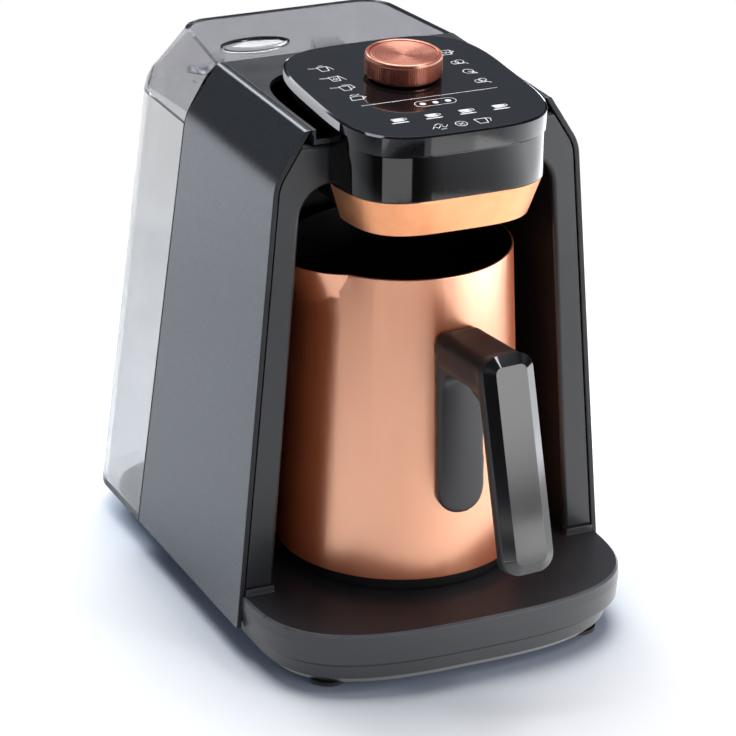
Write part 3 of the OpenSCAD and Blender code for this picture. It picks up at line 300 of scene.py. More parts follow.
FINISHES = {
    # satin ABS, spark-eroded mould: soft, even sheen
    "fascia_plastic": lambda: surface("satin_abs", "#232426", "#27282a", 0.34, 0.35, 0.006),
    # polypropylene, fine matt mould
    "black_plastic": lambda: surface("matt_polypropylene", "#1a1a1b", "#1e1e1f", 0.48, 0.5, 0.02),
    # polypropylene, coarse matt mould; also painted shade on the side panels' front faces and on the pan's seam
    # band
    "bay_black": lambda: surface("coarse_matt_polypropylene", "#0c0c0d", "#101011", 0.6, 0.7, 0.03),
    # polypropylene, satin mould: the pan's own tone, and on the tray's side a paler copy painted as sheen
    "pan_tone_and_painted_sheen": lambda: surface(
        "satin_polypropylene_and_painted_sheen", "#3a3b3e", "#3f4043", 0.34, 0.5, 0.004, mottle=60, rough_spread=0.01
    ),
    # satin ABS with a fine texture
    "tray_plastic": lambda: surface("textured_abs", "#313033", "#363538", 0.34, 0.45, 0.008),
    # the tray's upper edge, paler as a painted highlight
    "painted_highlight_edge": lambda: surface("painted_highlight_abs_edge", "#5c5d61", "#66676b", 0.3, 0.5, 0.004),
    # ABS, fine matt mould
    "cover_plastic": lambda: surface("fine_matt_abs", "#2c2d2f", "#303134", 0.38, 0.35, 0.006),
    # satin metallic lacquer on ABS
    "copper_trim": lambda: surface(
        "copper_lacquer", "#f2a473", "#f8ae7e", 0.4, 0.3, 0.004, metallic=0.8, mottle=6
    ),
    # bakelite, matt mould
    "handle_plastic": lambda: surface("matt_bakelite", "#242426", "#29292b", 0.42, 0.3, 0.008),
    # bakelite, polished: even and nearly free of grain
    "handle_gloss": lambda: surface(
        "polished_black_bakelite", "#161618", "#1a1a1c", 0.1, 0.3, 0.0005, ior=1.6, mottle=40,
        rough_spread=0.01,
    ),
    # rubber with a dull, cloudy skin
    "rubber": lambda: surface("moulded_rubber", "#1b1b1b", "#202020", 0.72, 0.6, 0.03, rough_spread=0.06),
    # stainless steel, ground in level lines
    "steel": lambda: surface(
        "ground_stainless_steel", "#b4b5b8", "#c9cacc", 0.3, 0.2, 0.004, metallic=1.0, stretch=(30, 30, 1)
    ),
    # steel with a bright, fine-grained zinc plate
    "zinc": lambda: surface("zinc_plated_steel", "#9a9fa6", "#aeb4ba", 0.34, 0.5, 0.004, metallic=1.0),
    # acetal, satin mould
    "white_plastic": lambda: surface("white_acetal", "#dcdcd8", "#e4e4e0", 0.4, 0.4, 0.006),
    # soft silicone
    "valve_orange": lambda: surface("orange_silicone", "#b9542e", "#c65d35", 0.5, 0.4, 0.01),
    # gauze, its weave a deep grain
    "filter_mesh": lambda: surface("woven_filter_gauze", "#c3c6c9", "#e2e5e8", 0.5, 0.5, 0.08),
    # extruded silicone, milky
    "silicone": lambda: surface("clear_silicone_hose", "#c4c8cc", "#d2d6da", 0.32, 0.8, 0.01),
    # solder mask over copper tracks
    "circuit_board": lambda: surface(
        "green_solder_mask", "#174a30", "#1f5f3e", 0.32, 0.7, 0.02, mottle=3
    ),
    # epoxy cases
    "board_parts": lambda: surface(
        "moulded_components", "#28282a", "#3a3a3d", 0.45, 0.6, 0.01, mottle=2
    ),
    # nylon with glass fibre in it
    "pump_blue": lambda: surface("glass_filled_nylon", "#2c4861", "#345470", 0.45, 0.4, 0.015),
    # bright drawn steel
    "motor_steel": lambda: surface(
        "drawn_steel_can", "#a9abae", "#bcbec0", 0.3, 0.3, 0.003, metallic=1.0
    ),
    # anodised cast aluminium
    "ceramic": lambda: surface(
        "anodised_aluminium_block", "#b9bbbd", "#c9cbcd", 0.4, 0.4, 0.006, metallic=0.8
    ),
    # dark plastic that lets infrared light through
    "sensor_lens": lambda: gloss_plastic("infrared_filter", "#1a0506", "#260809", 1.52),
    # polished ABS
    "head_gloss": lambda: gloss_plastic("piano_black_abs", "#070708", "#09090a", 1.5),
    # polished acrylic
    "panel_gloss": lambda: gloss_plastic("smoked_acrylic", "#0f0f11", "#121214", 1.5),
    # polished acrylic edge, pale, with a painted glow
    "painted_glow_edge": lambda: surface(
        "painted_glow_acrylic_edge", "#9fa0a4", "#adaeb2", 0.3, 0.5, 0.004, Emission_Color=linear("#dfe0e6"),
        Emission_Strength=0.32,
    ),
    "anthracite_lacquer": metallic_lacquer,
    "pot_copper": brushed_copper,
    # near-black inside the pot
    "dark_pot_inside": lambda: surface("near_black_pot_inside", "#0d0c0c", "#131111", 0.5, 0.6, 0.01),
    "knob_copper": turned_copper,
    # styrene-acrylonitrile, smoke-tinted
    "tank_clear": lambda: smoked_clear("smoke_tinted_san", "#cfd0d1", "#d4d5d6"),
    "lid_clear": lambda: smoked_clear("smoke_tinted_lid", "#cdcdd1", "#d2d2d6"),
    # thin, slightly uneven matt white film
    "ink": lambda: surface("screen_printed_ink", "#d9dbdd", "#f2f3f4", 0.55, 0.25, 0.004, mottle=1.5),
}
made_finishes = {}


def finish(slot):
    """The material for a slot, made once."""
    if slot not in made_finishes:
        made_finishes[slot] = FINISHES[slot]()
    return made_finishes[slot]


# ------------------------------------------------------------------ shaping


def solid_of(node):
    """A CAD solid's surface as a clean bmesh: doubles merged and flat faces made whole."""
    bm = bmesh.new()
    bm.from_mesh(frame["nodes"][node].data)
    bmesh.ops.remove_doubles(bm, verts=bm.verts, dist=SAME_PLACE)
    bmesh.ops.dissolve_limit(
        bm, angle_limit=math.radians(FLAT), verts=bm.verts, edges=bm.edges, use_dissolve_boundaries=False
    )
    return bm


def soften(bm, width, angle=28, steps=2, where=None):
    """Rounds edges by width in mm: those whose faces turn by more than the angle, and of them only those
    whose middle is where it has to be, if that is given."""
    limit = math.radians(angle)
    edges = [
        e
        for e in bm.edges
        if len(e.link_faces) == 2
        and e.calc_face_angle(0) > limit
        and (where is None or where((e.verts[0].co + e.verts[1].co) / 2))
    ]
    if edges:
        bmesh.ops.bevel(
            bm, geom=edges, offset=width * MM, offset_type="OFFSET", segments=steps, profile=0.5,
            affect="EDGES", clamp_overlap=True, material=-1, loop_slide=True,
        )


def lathe(bm, profile, steps):
    """Turns (radius, height) points in mm round the vertical axis."""
    points = [bm.verts.new((r * MM, 0, z * MM)) for r, z in profile]
    edges = [bm.edges.new(pair) for pair in zip(points, points[1:])]
    bmesh.ops.spin(
        bm, geom=points + edges, cent=(0, 0, 0), axis=UP, dvec=(0, 0, 0), angle=2 * math.pi,
        steps=steps, use_merge=True, use_duplicate=False,
    )
    bmesh.ops.remove_doubles(bm, verts=bm.verts, dist=SAME_PLACE)
    bmesh.ops.recalc_face_normals(bm, faces=bm.faces)


def pick_finish(bm, number):
    """Gives each face the number of its finish."""
    for face in bm.faces:
        face.material_index = int(number(face))


def placed(bm, name):
    """A bmesh as an object in the scene."""
    mesh = bpy.data.meshes.new(name)
    bm.to_mesh(mesh)
    bm.free()
    made = bpy.data.objects.new(name, mesh)
    bpy.context.scene.collection.objects.link(made)
    return made


def moulded(node, voxel, passes):
    """A moulded form: the CAD solid on an even net of voxel mm, with its corners smoothed into blends."""
    held = placed(solid_of(node), "moulding")
    net = held.modifiers.new("net", "REMESH")
    net.mode = "VOXEL"
    net.voxel_size = voxel * MM
    context = bpy.context.evaluated_depsgraph_get()
    bm = bmesh.new()
    bm.from_mesh(held.evaluated_get(context).to_mesh())
    bpy.data.objects.remove(held)
    # a pass moves every point half way to the middle of its neighbours
    for _ in range(passes):
        bmesh.ops.smooth_vert(
            bm, verts=bm.verts, factor=0.5, use_axis_x=True, use_axis_y=True, use_axis_z=True
        )
    return bm


def piece(bm, name, body, slot, stands_for=(), crease=32, finishes=(), weighted=True):
    """Makes a bmesh a named piece that rides on a body, or on none yet, and stands for CAD nodes. Edges
    that turn by more than crease degrees stay sharp, and faces pick from finishes by their number."""
    for face in bm.faces:
        face.smooth = True
    limit = math.radians(crease)
    for e in bm.edges:
        e.smooth = len(e.link_faces) != 2 or e.calc_face_angle(0) < limit
    made = placed(bm, name)
    for wanted in finishes or (slot,):
        made.data.materials.append(finish(wanted))
    if weighted:
        normals = made.modifiers.new("even_normals", "WEIGHTED_NORMAL")
        normals.keep_sharp = True
    if body:
        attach(made, body)
    if stands_for:
        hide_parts(*stands_for)
    return made


def carried_over(node, slot):
    """A CAD node that stays, in a finish."""
    held = frame["nodes"][node]
    held.data.materials.clear()
    held.data.materials.append(finish(slot))


def knob_axis():
    """Direction and foot of the knob's axis."""
    joint = next(j for j in frame["joints"] if j["name"] == "knob_spin")
    return Vector(joint["axis"]).normalized(), Vector(joint["pos_m"])


def panel_plane(lift=0.0):
    """The panel's tilted plane as a matrix, at the foot of the knob's axis and lift metres above it."""
    axis, foot = knob_axis()
    return Matrix.Translation(foot + axis * lift) @ UP.rotation_difference(axis).to_matrix().to_4x4()


def pot_axis():
    """Foot of the pot's own axis."""
    low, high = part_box("pot_base")
    return Vector(((low.x + high.x) / 2, (low.y + high.y) / 2, 0))


# ------------------------------------------------------------------ settings


class HousingSettings(bpy.types.PropertyGroup):
    edge: bpy.props.FloatProperty(
        name="Edge", description="Round on the housing's edges", default=0.0005, unit="LENGTH"
    )
    tray_edge: bpy.props.FloatProperty(
        name="Tray edge", description="Round on the tray's upper edge", default=0.0008, unit="LENGTH"
    )
    pillar_edge: bpy.props.FloatProperty(
        name="Pillar edge", description="Round on the pillars' inner edge", default=0.0022, unit="LENGTH"
    )
    # height of the band along the pan's top that is painted black as the seam's shade
    seam: bpy.props.FloatProperty(
        name="Seam", description="Height of the dark step between pan and tray", default=0.0018, unit="LENGTH"
    )
    pan_bulge: bpy.props.FloatProperty(
        name="Pan bulge", description="How far the pan's foot stands forward", default=0.002, unit="LENGTH"
    )
    ridge: bpy.props.FloatProperty(
        name="Ridge", description="Round on the ridge beside the flat top", default=0.0012, unit="LENGTH"
    )


class KnobSettings(bpy.types.PropertyGroup):
    ribs: bpy.props.IntProperty(name="Ribs", description="Ribs round the knob", default=108, min=24)
    dish: bpy.props.FloatProperty(
        name="Dish", description="Depth of the dish in the knob's face", default=0.0011, unit="LENGTH"
    )


class PotSettings(bpy.types.PropertyGroup):
    rim: bpy.props.FloatProperty(
        name="Rim", description="Round on the pot's rim", default=0.0006, unit="LENGTH"
    )
    grip_smoothing: bpy.props.IntProperty(
        name="Handle smoothing", description="Passes that blend the moulded handle", default=14, min=0
    )


class StudioSettings(bpy.types.PropertyGroup):
    floor_lift: bpy.props.FloatProperty(
        name="Floor lift", description="How far past white the paper is exposed", default=0.26
    )
    azimuth: bpy.props.FloatProperty(
        name="Azimuth", description="Camera's turn round the object", subtype="ANGLE",
        default=math.radians(-24.79),
    )
    elevation: bpy.props.FloatProperty(
        name="Elevation", description="Camera's angle above the horizon", subtype="ANGLE",
        default=math.radians(23.16),
    )
    roll: bpy.props.FloatProperty(
        name="Roll", description="Camera's roll", subtype="ANGLE", default=math.radians(0.75)
    )
    stand: bpy.props.FloatVectorProperty(
        name="Stand", description="Camera's place from the foot of the pot", unit="LENGTH",
        default=(-0.6443, -1.3609, 0.7594),
    )
    lens: bpy.props.FloatProperty(
        name="Lens", description="Camera's focal length in millimetres, on a 36 mm sensor", default=176.6
    )


# ------------------------------------------------------------------ housing


def side_panel(side, settings):
    """Side panel in lacquer, with a rounded ridge. Its front face beside the fascia is painted black as the shade
    of the gap.
    """
    node = f"side_panel_{side}"
    bm = solid_of(node)
    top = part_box(node)[1].z
    ridge = max(abs(v.co.x) for v in bm.verts if v.co.z > top - 0.1 * MM)
    near = 0.2 * MM
    soften(bm, settings.ridge / MM, 15, 4, lambda p: p.z > top - near and abs(p.x) > ridge - near)
    soften(bm, settings.edge / MM, 40)
    # front faces take the bay's black: painted shade of the gap beside the fascia
    pick_finish(bm, lambda face: face.normal.y < -0.6)
    finishes = ["anthracite_lacquer", "bay_black"]
    piece(bm, f"lacquered_panel_{side}", "housing", "anthracite_lacquer", [node], finishes=finishes)


def fascia(settings):
    """Inverted-U frame with round inner edges beside the pot bay."""
    bm = solid_of("front_fascia")
    low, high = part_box("front_fascia")
    # how far the sides lean in from foot to top, and the strip along them that stays sharp
    lean, strip = 17 * MM, 7 * MM
    # how close an edge lies to the front face, and how far over the foot it is
    close, clear = 0.3 * MM, 0.5 * MM

    def beside_bay(p):
        outer = high.x - (p.z - low.z) / (high.z - low.z) * lean
        return p.y < low.y + close and abs(p.x) < outer - strip and p.z > low.z + clear

    soften(bm, settings.pillar_edge / MM, 50, 6, beside_bay)
    soften(bm, settings.edge / MM, 50)
    piece(bm, "fascia_frame", "housing", "fascia_plastic", ["front_fascia"])


def tray_finish(face):
    """Matt top and underside are 0; the side is 1, a paler copy painted as sheen; the upper edge is 2, paler as a
    painted highlight.
    """
    tilt = face.normal.z
    if tilt > 0.97 or tilt < -0.3:
        return 0
    # the upper edge takes a painted highlight, the side a paler copy painted as sheen
    return 2 if tilt > 0.15 else 1


def tray(settings):
    """Drip tray with a soft upper edge that is painted pale as a highlight, and a side painted paler as sheen."""
    bm = solid_of("base_tray")
    soften(bm, settings.tray_edge / MM, steps=3)
    pick_finish(bm, tray_finish)
    # the side's paler finish is painted sheen, and the edge's is a painted highlight
    finishes = ["tray_plastic", "pan_tone_and_painted_sheen", "painted_highlight_edge"]
    piece(bm, "drip_tray", "housing", "tray_plastic", ["base_tray"], finishes=finishes)


def pan(settings):
    """Base pan: a black band along its top is painted shade of the seam under the tray, and its foot stands
    fuller.
    """
    bm = solid_of("base_pan")
    low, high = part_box("base_pan")
    step = high.z - settings.seam
    everything = bm.verts[:] + bm.edges[:] + bm.faces[:]
    bmesh.ops.bisect_plane(bm, geom=everything, dist=SAME_PLACE, plane_co=(0, 0, step), plane_no=UP)
    wider, foot = 1.02, low.z + 0.5 * MM
    for v in bm.verts:
        if v.co.z < foot:
            v.co.x *= wider
            if v.co.y < 0:
                v.co.y -= settings.pan_bulge
    soften(bm, settings.edge / MM * 1.6, where=lambda p: p.z < step - 1 * MM)
    # faces above the step take the bay's black: painted shade of the seam
    pick_finish(bm, lambda face: face.calc_center_median().z > step)
    piece(bm, "bottom_pan", "housing", "black_plastic", ["base_pan"], finishes=["pan_tone_and_painted_sheen", "bay_black"])


class COFFEE_OT_housing(bpy.types.Operator):
    """Side panels, fascia, tray, base pan and top cover with moulded edges"""

    bl_idname = "coffee.housing"
    bl_label = "Housing"

    def execute(self, context):
        settings = context.scene.coffee_housing
        for side in ("left", "right"):
            side_panel(side, settings)
        fascia(settings)
        tray(settings)
        pan(settings)
        bm = solid_of("top_cover")
        soften(bm, settings.edge / MM * 0.8)
        piece(bm, "cover_plate", "housing", "cover_plastic", ["top_cover"])
        return {"FINISHED"}


# ------------------------------------------------------------------ head, knob and print


class COFFEE_OT_head(bpy.types.Operator):
    """Control panel, gloss housing and copper trim of the brewing head"""

    bl_idname = "coffee.head"
    bl_label = "Brewing head"

    def execute(self, context):
        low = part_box("control_panel")[0]

        def painted_glow_face(face):
            """The panel's upright left edge, 30 mm and more behind its front, which gets the painted glow."""
            middle = face.calc_center_median()
            upright = abs(face.normal.z) < 0.5
            return upright and middle.x < low.x + 9 * MM and middle.y > low.y + 30 * MM

        for node, name, slot, width in (
            ("control_panel", "touch_panel", "panel_gloss", 0.5),
            ("head_housing", "gloss_head", "head_gloss", 0.6),
            ("head_trim", "copper_band", "copper_trim", 0.4),
            ("head_underside", "head_floor", "black_plastic", 0.4),
            ("panel_frame", "panel_surround", "black_plastic", 0.3),
        ):
            bm = solid_of(node)
            soften(bm, width)
            finishes = [slot]
            # the panel's upright left edge gets a painted glow
            if node == "control_panel":
                pick_finish(bm, painted_glow_face)
                finishes.append("painted_glow_edge")
            piece(bm, name, "housing", slot, [node], finishes=finishes)
        return {"FINISHED"}


class COFFEE_OT_knob(bpy.types.Operator):
    """Ribbed and turned knob"""

    bl_idname = "coffee.knob"
    bl_label = "Knob"

    def execute(self, context):
        settings = context.scene.coffee_knob
        axis, foot = knob_axis()
        low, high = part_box("knob")
        radius = (high.x - low.x) / 2 / MM
        heights = [(v.co - foot).dot(axis) / MM for v in frame["nodes"]["knob"].data.vertices]
        gap, height = min(heights), max(heights)
        dish = settings.dish / MM
        # the hollow underneath: hole for the shaft, wall, and height of its ceiling over the axis's foot
        bore, wall, ceiling = 3.2, 3.2, 1.4
        profile = [(bore, ceiling), (radius - wall, ceiling)]
        # the skirt up to the grip band, as (distance in from the band, height over the gap)
        skirt = ((wall, 0), (1.8, 0), (1.1, 0.35), (0.95, 1.0), (0, 1.5))
        profile += [(radius - inwards, gap + z) for inwards, z in skirt]
        # the rim, the groove inside it and the dished face, as (distance in, height over the top)
        rim = ((0, -1.9), (0.3, -1.6), (0.35, -0.7), (0.5, -0.3), (0.85, -0.05), (1.1, 0), (1.9, 0))
        groove = ((2.05, -0.1), (2.15, -1.1), (2.55, -1.1), (2.65, -0.45), (2.9, -0.3))
        face = ((5.5, -0.62 * dish), (9, -0.9 * dish), (radius - 2, -dish), (radius, -dish))
        profile += [(radius - inwards, height + z) for inwards, z in rim + groove + face]
        lines_per_rib, rib_depth = 4, 0.5
        lines = settings.ribs * lines_per_rib
        bm = bmesh.new()
        lathe(bm, profile, lines)
        # two of a rib's four lines sink in along the grip band
        for v in bm.verts:
            if abs(math.hypot(v.co.x, v.co.y) / MM - radius) < 0.02:
                turn = round(math.atan2(v.co.y, v.co.x) / (2 * math.pi) * lines)
                if turn % lines_per_rib in (1, 2):
                    v.co.xy *= (radius - rib_depth) / radius
        bmesh.ops.transform(bm, matrix=panel_plane(), verts=bm.verts)
        piece(bm, "turned_knob", "dial", "knob_copper", ["knob"], crease=40)
        return {"FINISHED"}


def dot(bm, x, y, radius, segments, place):
    """Flat disc in mm, laid on the panel by place."""
    spot = place @ Matrix.Translation((x * MM, y * MM, 0))
    bmesh.ops.create_circle(bm, cap_ends=True, segments=segments, radius=radius * MM, matrix=spot)


def strokes(bm, paths, width, place):
    """Flat ribbons along paths of points in mm, with round ends, laid on the panel by place."""
    for path in paths:
        for a, b in zip(path, path[1:]):
            along = Vector(b) - Vector(a)
            turn = Matrix.Rotation(math.atan2(along.y, along.x), 4, "Z")
            spot = Matrix.Translation(((a[0] + b[0]) / 2 * MM, (a[1] + b[1]) / 2 * MM, 0))
            size = Matrix.Diagonal((along.length * MM / 2, width * MM / 2, 1, 1))
            bmesh.ops.create_grid(bm, x_segments=1, y_segments=1, size=1, matrix=place @ spot @ turn @ size)
        for x, y in path:
            dot(bm, x, y, width / 2, 10, place)


def ring(x, y, r, steps):
    """Points round a circle in mm."""
    turns = [2 * math.pi * i / steps for i in range(steps + 1)]
    return [(x + r * math.cos(t), y + r * math.sin(t)) for t in turns]


def filled_cup(bm, x, y, place):
    """Filled cup on its saucer, with a handle."""
    for width, level in ((4.6, 1.3), (4.2, 0.2), (3.8, -0.8)):
        strokes(bm, [[(x - width / 2, y + level), (x + width / 2, y + level)]], 1.3, place)
    strokes(bm, [[(x - 3.6, y - 2.7), (x + 3.4, y - 2.7)]], 0.9, place)
    strokes(bm, [ring(x + 3.1, y + 0.6, 1.0, 10)], 0.5, place)


def long_ring(y, reach, r):
    """Points round two half circles and the straight runs between them, in mm."""
    turns = [math.pi * (i / 8 - 0.5) for i in range(9)]
    right = [(reach + r * math.cos(t), y + r * math.sin(t)) for t in turns]
    left = [(-reach - r * math.cos(t), y - r * math.sin(t)) for t in turns]
    return right + left + right[:1]


# outlines of the panel's symbols, in mm round their own middle
POT = [[(-2.3, 2.2), (-1.6, -2.8), (1.8, -2.8), (2.3, 2.2), (-2.3, 2.2)], [(-2.3, 1.2), (-6.4, 1.9)]]
SYMBOLS = {
    "pot_and_pour": POT + [[(2.3, 2.2), (3.4, 0.4), (4.2, -2.2)], [(-0.8, 3.6), (1.2, 3.6)]],
    "pot_and_bean": POT + [ring(0.1, -0.5, 0.9, 10), [(2.6, 2.8), (4.6, -2.4)]],
    "pot_and_cup": POT + [[(-0.2, 3.4), (3.4, 3.1), (4.4, -0.6), (2.4, -1.2)]],
    "pot_and_steam": [
        [(-3.2, -2.6), (2.4, -2.6), (3.1, 1.0), (1.2, 1.6), (-2.6, 1.2), (-3.2, -2.6)],
        [(-2.0, 2.6), (-0.6, 3.6), (0.8, 2.6), (2.6, 3.5)], [(3.0, 0.6), (4.4, -0.4), (2.8, -1.6)],
    ],
    "cup": [
        [(-2.9, 2.6), (-2.4, -2.4), (1.9, -2.4), (2.6, 2.6), (-2.9, 2.6)],
        [(-1.6, 1.0), (-0.4, -0.9), (0.4, 0.9), (1.6, -0.9)], [(2.6, 1.6), (3.8, 0.4), (2.3, -1.0)],
    ],
    "cloud": [
        ring(-1.5, 0.2, 1.7, 12), ring(0.9, 0.7, 2.0, 12), [(-2.8, -1.6), (3.2, -1.6), (3.6, -2.9)],
    ],
    "timer": [ring(-0.5, 0.3, 2.4, 16), [(-0.5, 0.3), (1.9, -2.2)], [(1.2, -0.6), (2.6, -2.9), (0.2, -2.5)]],
    "steam": [
        ring(-1.4, 0.1, 1.6, 12), ring(1.0, 0.9, 1.7, 12), [(-2.6, -1.7), (2.2, -1.7), (3.6, -3.0)],
        [(-0.4, -0.6), (1.6, -0.8)],
    ],
    "descale": [
        [(-4.0, -1.6), (-2.6, 0.6), (-1.2, -1.6), (0.6, 0.9), (2.0, -1.5), (3.9, 0.9)],
        [(-1.9, 1.8), (0.2, 3.2), (1.8, 1.6)], [(-0.8, -2.9), (1.8, -2.9)],
    ],
    "clean": [ring(0, 0, 2.6, 16), [(-1.2, 0.9), (1.1, -1.2)], [(-0.9, -1.1), (1.2, 1.0)]],
    "serve": [
        [(-3.0, 2.4), (-2.2, -2.6), (1.6, -2.6), (2.4, 2.4), (-3.0, 2.4)],
        [(2.4, 2.4), (4.4, 1.6), (3.6, -1.2)],
    ],
}
# where the symbols of the columns and rows stand, in mm from the pot's axis
PANEL_HEIGHTS = (20.5, 8, -3.6, -15.5)
PANEL_COLUMNS = {
    -30: ("pot_and_pour", "pot_and_bean", "pot_and_cup", "pot_and_steam"),
    30: ("cup", "cloud", "timer", "steam"),
}
FRONT_ROW = {-10: "descale", 0: "clean", 10: "serve"}
FRONT_ROW_Y, CUPS_Y, DOTS_Y, LINE_Y = -57.5, -45.2, -31.7, -25


class COFFEE_OT_print(bpy.types.Operator):
    """Printed symbols, line and dots on the control panel"""

    bl_idname = "coffee.print"
    bl_label = "Panel print"

    def execute(self, context):
        # a film 0.03 mm over the panel, measured from above the pot's axis
        place = panel_plane(0.03 * MM) @ Matrix.Translation((0, pot_axis().y - knob_axis()[1].y, 0))
        symbols = [
            (x, y, name) for x, names in PANEL_COLUMNS.items() for y, name in zip(PANEL_HEIGHTS, names)
        ]
        symbols += [(x, FRONT_ROW_Y, name) for x, name in FRONT_ROW.items()]
        bm = bmesh.new()
        for x, y, name in symbols:
            strokes(bm, [[(x + a, y + b) for a, b in path] for path in SYMBOLS[name]], 0.38, place)
        for x in (-24, -8, 8, 24):
            filled_cup(bm, x, CUPS_Y, place)
        for x in (-6, 0, 6):
            dot(bm, x, DOTS_Y, 1.4, 24, place)
        strokes(bm, [long_ring(DOTS_Y, 6.6, 3.1)], 0.32, place)
        strokes(bm, [[(-32, LINE_Y), (33, LINE_Y)]], 0.36, place)
        piece(bm, "panel_symbols", "housing", "white_plastic", finishes=["ink"], weighted=False)
        return {"FINISHED"}


# ------------------------------------------------------------------ pot, tank and inner parts


class COFFEE_OT_pot(bpy.types.Operator):
    """Copper pot with a flared lip and its base ring"""

    bl_idname = "coffee.pot"
    bl_label = "Pot"

    def execute(self, context):
        bm = solid_of("pot_body")
        soften(bm, context.scene.coffee_pot.rim / MM)
        axis = pot_axis()
        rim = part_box("pot_body")[1].z

        def inside(face):
            """The pot's floor, far under the rim, and the faces of its wall that look at its axis."""
            middle = face.calc_center_median()
            outwards = Vector((middle.x - axis.x, middle.y - axis.y, 0)).normalized()
            on_floor = face.normal.z > 0.7 and middle.z < rim - 10 * MM
            return on_floor or face.normal.dot(outwards) < -0.3

        pick_finish(bm, inside)
        piece(bm, "copper_pot", "pot", "pot_copper", ["pot_body"], finishes=["pot_copper", "dark_pot_inside"])
        bm = solid_of("pot_base")
        soften(bm, 0.5)
        piece(bm, "pot_foot", "pot", "black_plastic", ["pot_base"])
        return {"FINISHED"}


class COFFEE_OT_handle(bpy.types.Operator):
    """Moulded handle and its gloss shell"""

    bl_idname = "coffee.handle"
    bl_label = "Handle"

    def execute(self, context):
        bm = moulded("handle_body", 0.7, context.scene.coffee_pot.grip_smoothing)
        piece(bm, "moulded_handle", "pot", "handle_plastic", ["handle_body"], crease=60, weighted=False)
        bm = solid_of("handle_shell")
        soften(bm, 0.5, angle=18)
        piece(bm, "grip_shell", "pot", "handle_gloss", ["handle_shell"])
        return {"FINISHED"}


class COFFEE_OT_tank(bpy.types.Operator):
    """Clear water tank, its lid with the latch, and the spring of its valve"""

    bl_idname = "coffee.tank"
    bl_label = "Water tank"

    def execute(self, context):
        for node, name, body, slot in (
            ("water_tank", "smoked_tank", "tank", "tank_clear"),
            ("tank_lid", "smoked_lid", "lid", "lid_clear"),
            ("lid_latch", "latch_frame", "lid", "lid_clear"),
        ):
            bm = solid_of(node)
            soften(bm, 0.35)
            piece(bm, name, body, slot, [node])
        # the valve's spring shortens between the plunger and the basket over it
        bm = solid_of("valve_spring")
        spring = piece(bm, "coil_spring", None, "steel", ["valve_spring"], crease=60, weighted=False)
        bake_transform(spring)
        return {"FINISHED"}


class COFFEE_OT_inside(bpy.types.Operator):
    """Finishes of the parts that stay as they are: feet, liner, pump, boards, valve and fittings"""

    bl_idname = "coffee.inside"
    bl_label = "Inner parts"

    def execute(self, context):
        for row in frame["record"]["subparts"]:
            carried_over(row["node"], row["material_slot"])
        carried_over("bay_liner", "bay_black")
        return {"FINISHED"}


# ------------------------------------------------------------------ studio


# point on the floor under the head's front that cards and flag stand round, in metres
HEAD_FRONT = Vector((-0.01, -0.087, 0))
# half the width of the studio's floor, in metres
FLOOR_REACH = 6


def seen_ray(tree, light):
    """1 where the camera looks, straight or through clear parts, from the outputs of a Light Path."""
    return combine(tree, "MAXIMUM", light["Is Camera Ray"], light["Is Transmission Ray"])


def paper_floor(lift):
    """Paper that the camera sees past white, with a painted shadow close under the machine, and that gloss mirrors
    as a painted glow nearby and a painted room floor beyond. Where a spread is over a distance, it starts and ends
    in metres from the object's middle."""
    made, tree, out, place = blank("paper_floor")
    light = add(tree, "LightPath").outputs
    glossy = light["Is Glossy Ray"]
    seen = seen_ray(tree, light)
    across, along, _ = add(tree, "SeparateXYZ", {"Vector": place}).outputs
    away = add(tree, "VectorMath", {0: place}, operation="LENGTH").outputs["Value"]

    # painted shadow: paper close under the machine turns bluish where ambient occlusion finds it closed in
    open_sky = add(tree, "AmbientOcclusion", {"Distance": 0.07}, samples=4).outputs["AO"]
    shade = two_tones(tree, spread(tree, open_sky, 0, 1, 0.2, 0.8), "#bcc7d8", "#ffffff")
    cloud = two_tones(tree, noise(tree, place, 400, 1.0), "#eff2f6", "#f3f5f8")
    shaded = add(tree, "VectorMath", {0: cloud, 1: shade}, operation="MULTIPLY").outputs[0]
    exposure = spread(tree, seen, 1, 1 + lift, 0, 1)
    paper = add(tree, "VectorMath", {0: shaded, "Scale": exposure}, operation="SCALE").outputs[0]
    sheet = add(tree, "BsdfDiffuse", {"Color": paper}).outputs[0]

    # painted reflection: mirrored, the paper nearby glows, only in front, brighter to the right and dimmer farther
    # off
    near = product(
        tree,
        glossy,
        spread(tree, across, 0.35, 1.3, -0.1, 0.14),
        spread(tree, along, 1, 0, -0.06, 0.04),
        spread(tree, away, 1, 0.35, 0.2, 0.5),
    )
    glow = add(tree, "Emission", {"Color": linear("#fbf9f8"), "Strength": near}).outputs[0]
    lit = add(tree, "AddShader", {0: sheet, 1: glow}).outputs[0]

    # painted reflection: mirrored, a room's floor lies beyond it, dim at the front left, bright at the back, and
    # brighter and brighter towards the right
    rise = spread(tree, across, 0, 1, 0.05, 0.6)
    brighter_right = combine(tree, "MULTIPLY_ADD", product(tree, rise, rise), 4.6, 0.05)
    level = combine(tree, "MAXIMUM", spread(tree, along, 0.05, 1.5, -0.25, 0.6), brighter_right)
    level = product(tree, level, spread(tree, away, 1.5, 1, 0.61, 0.67))
    room = add(tree, "Emission", {"Color": linear("#f4f6fa"), "Strength": level}).outputs[0]
    # it starts nearer on the right
    reach = combine(tree, "ADD", away, spread(tree, across, 0, 0.09, 0.25, 0.42))
    far = product(tree, spread(tree, reach, 0, 1, 0.61, 0.66), glossy)
    shown = mixed_shader(tree, far, lit, room)

    # away from the shadow the camera sees plain white
    bare = product(tree, spread(tree, away, 0, 1, 0.24, 0.6), seen)
    white = add(tree, "Emission", {"Color": linear("#ffffff"), "Strength": 1.0}).outputs[0]
    tree.links.new(mixed_shader(tree, bare, shown, white), out)
    return made


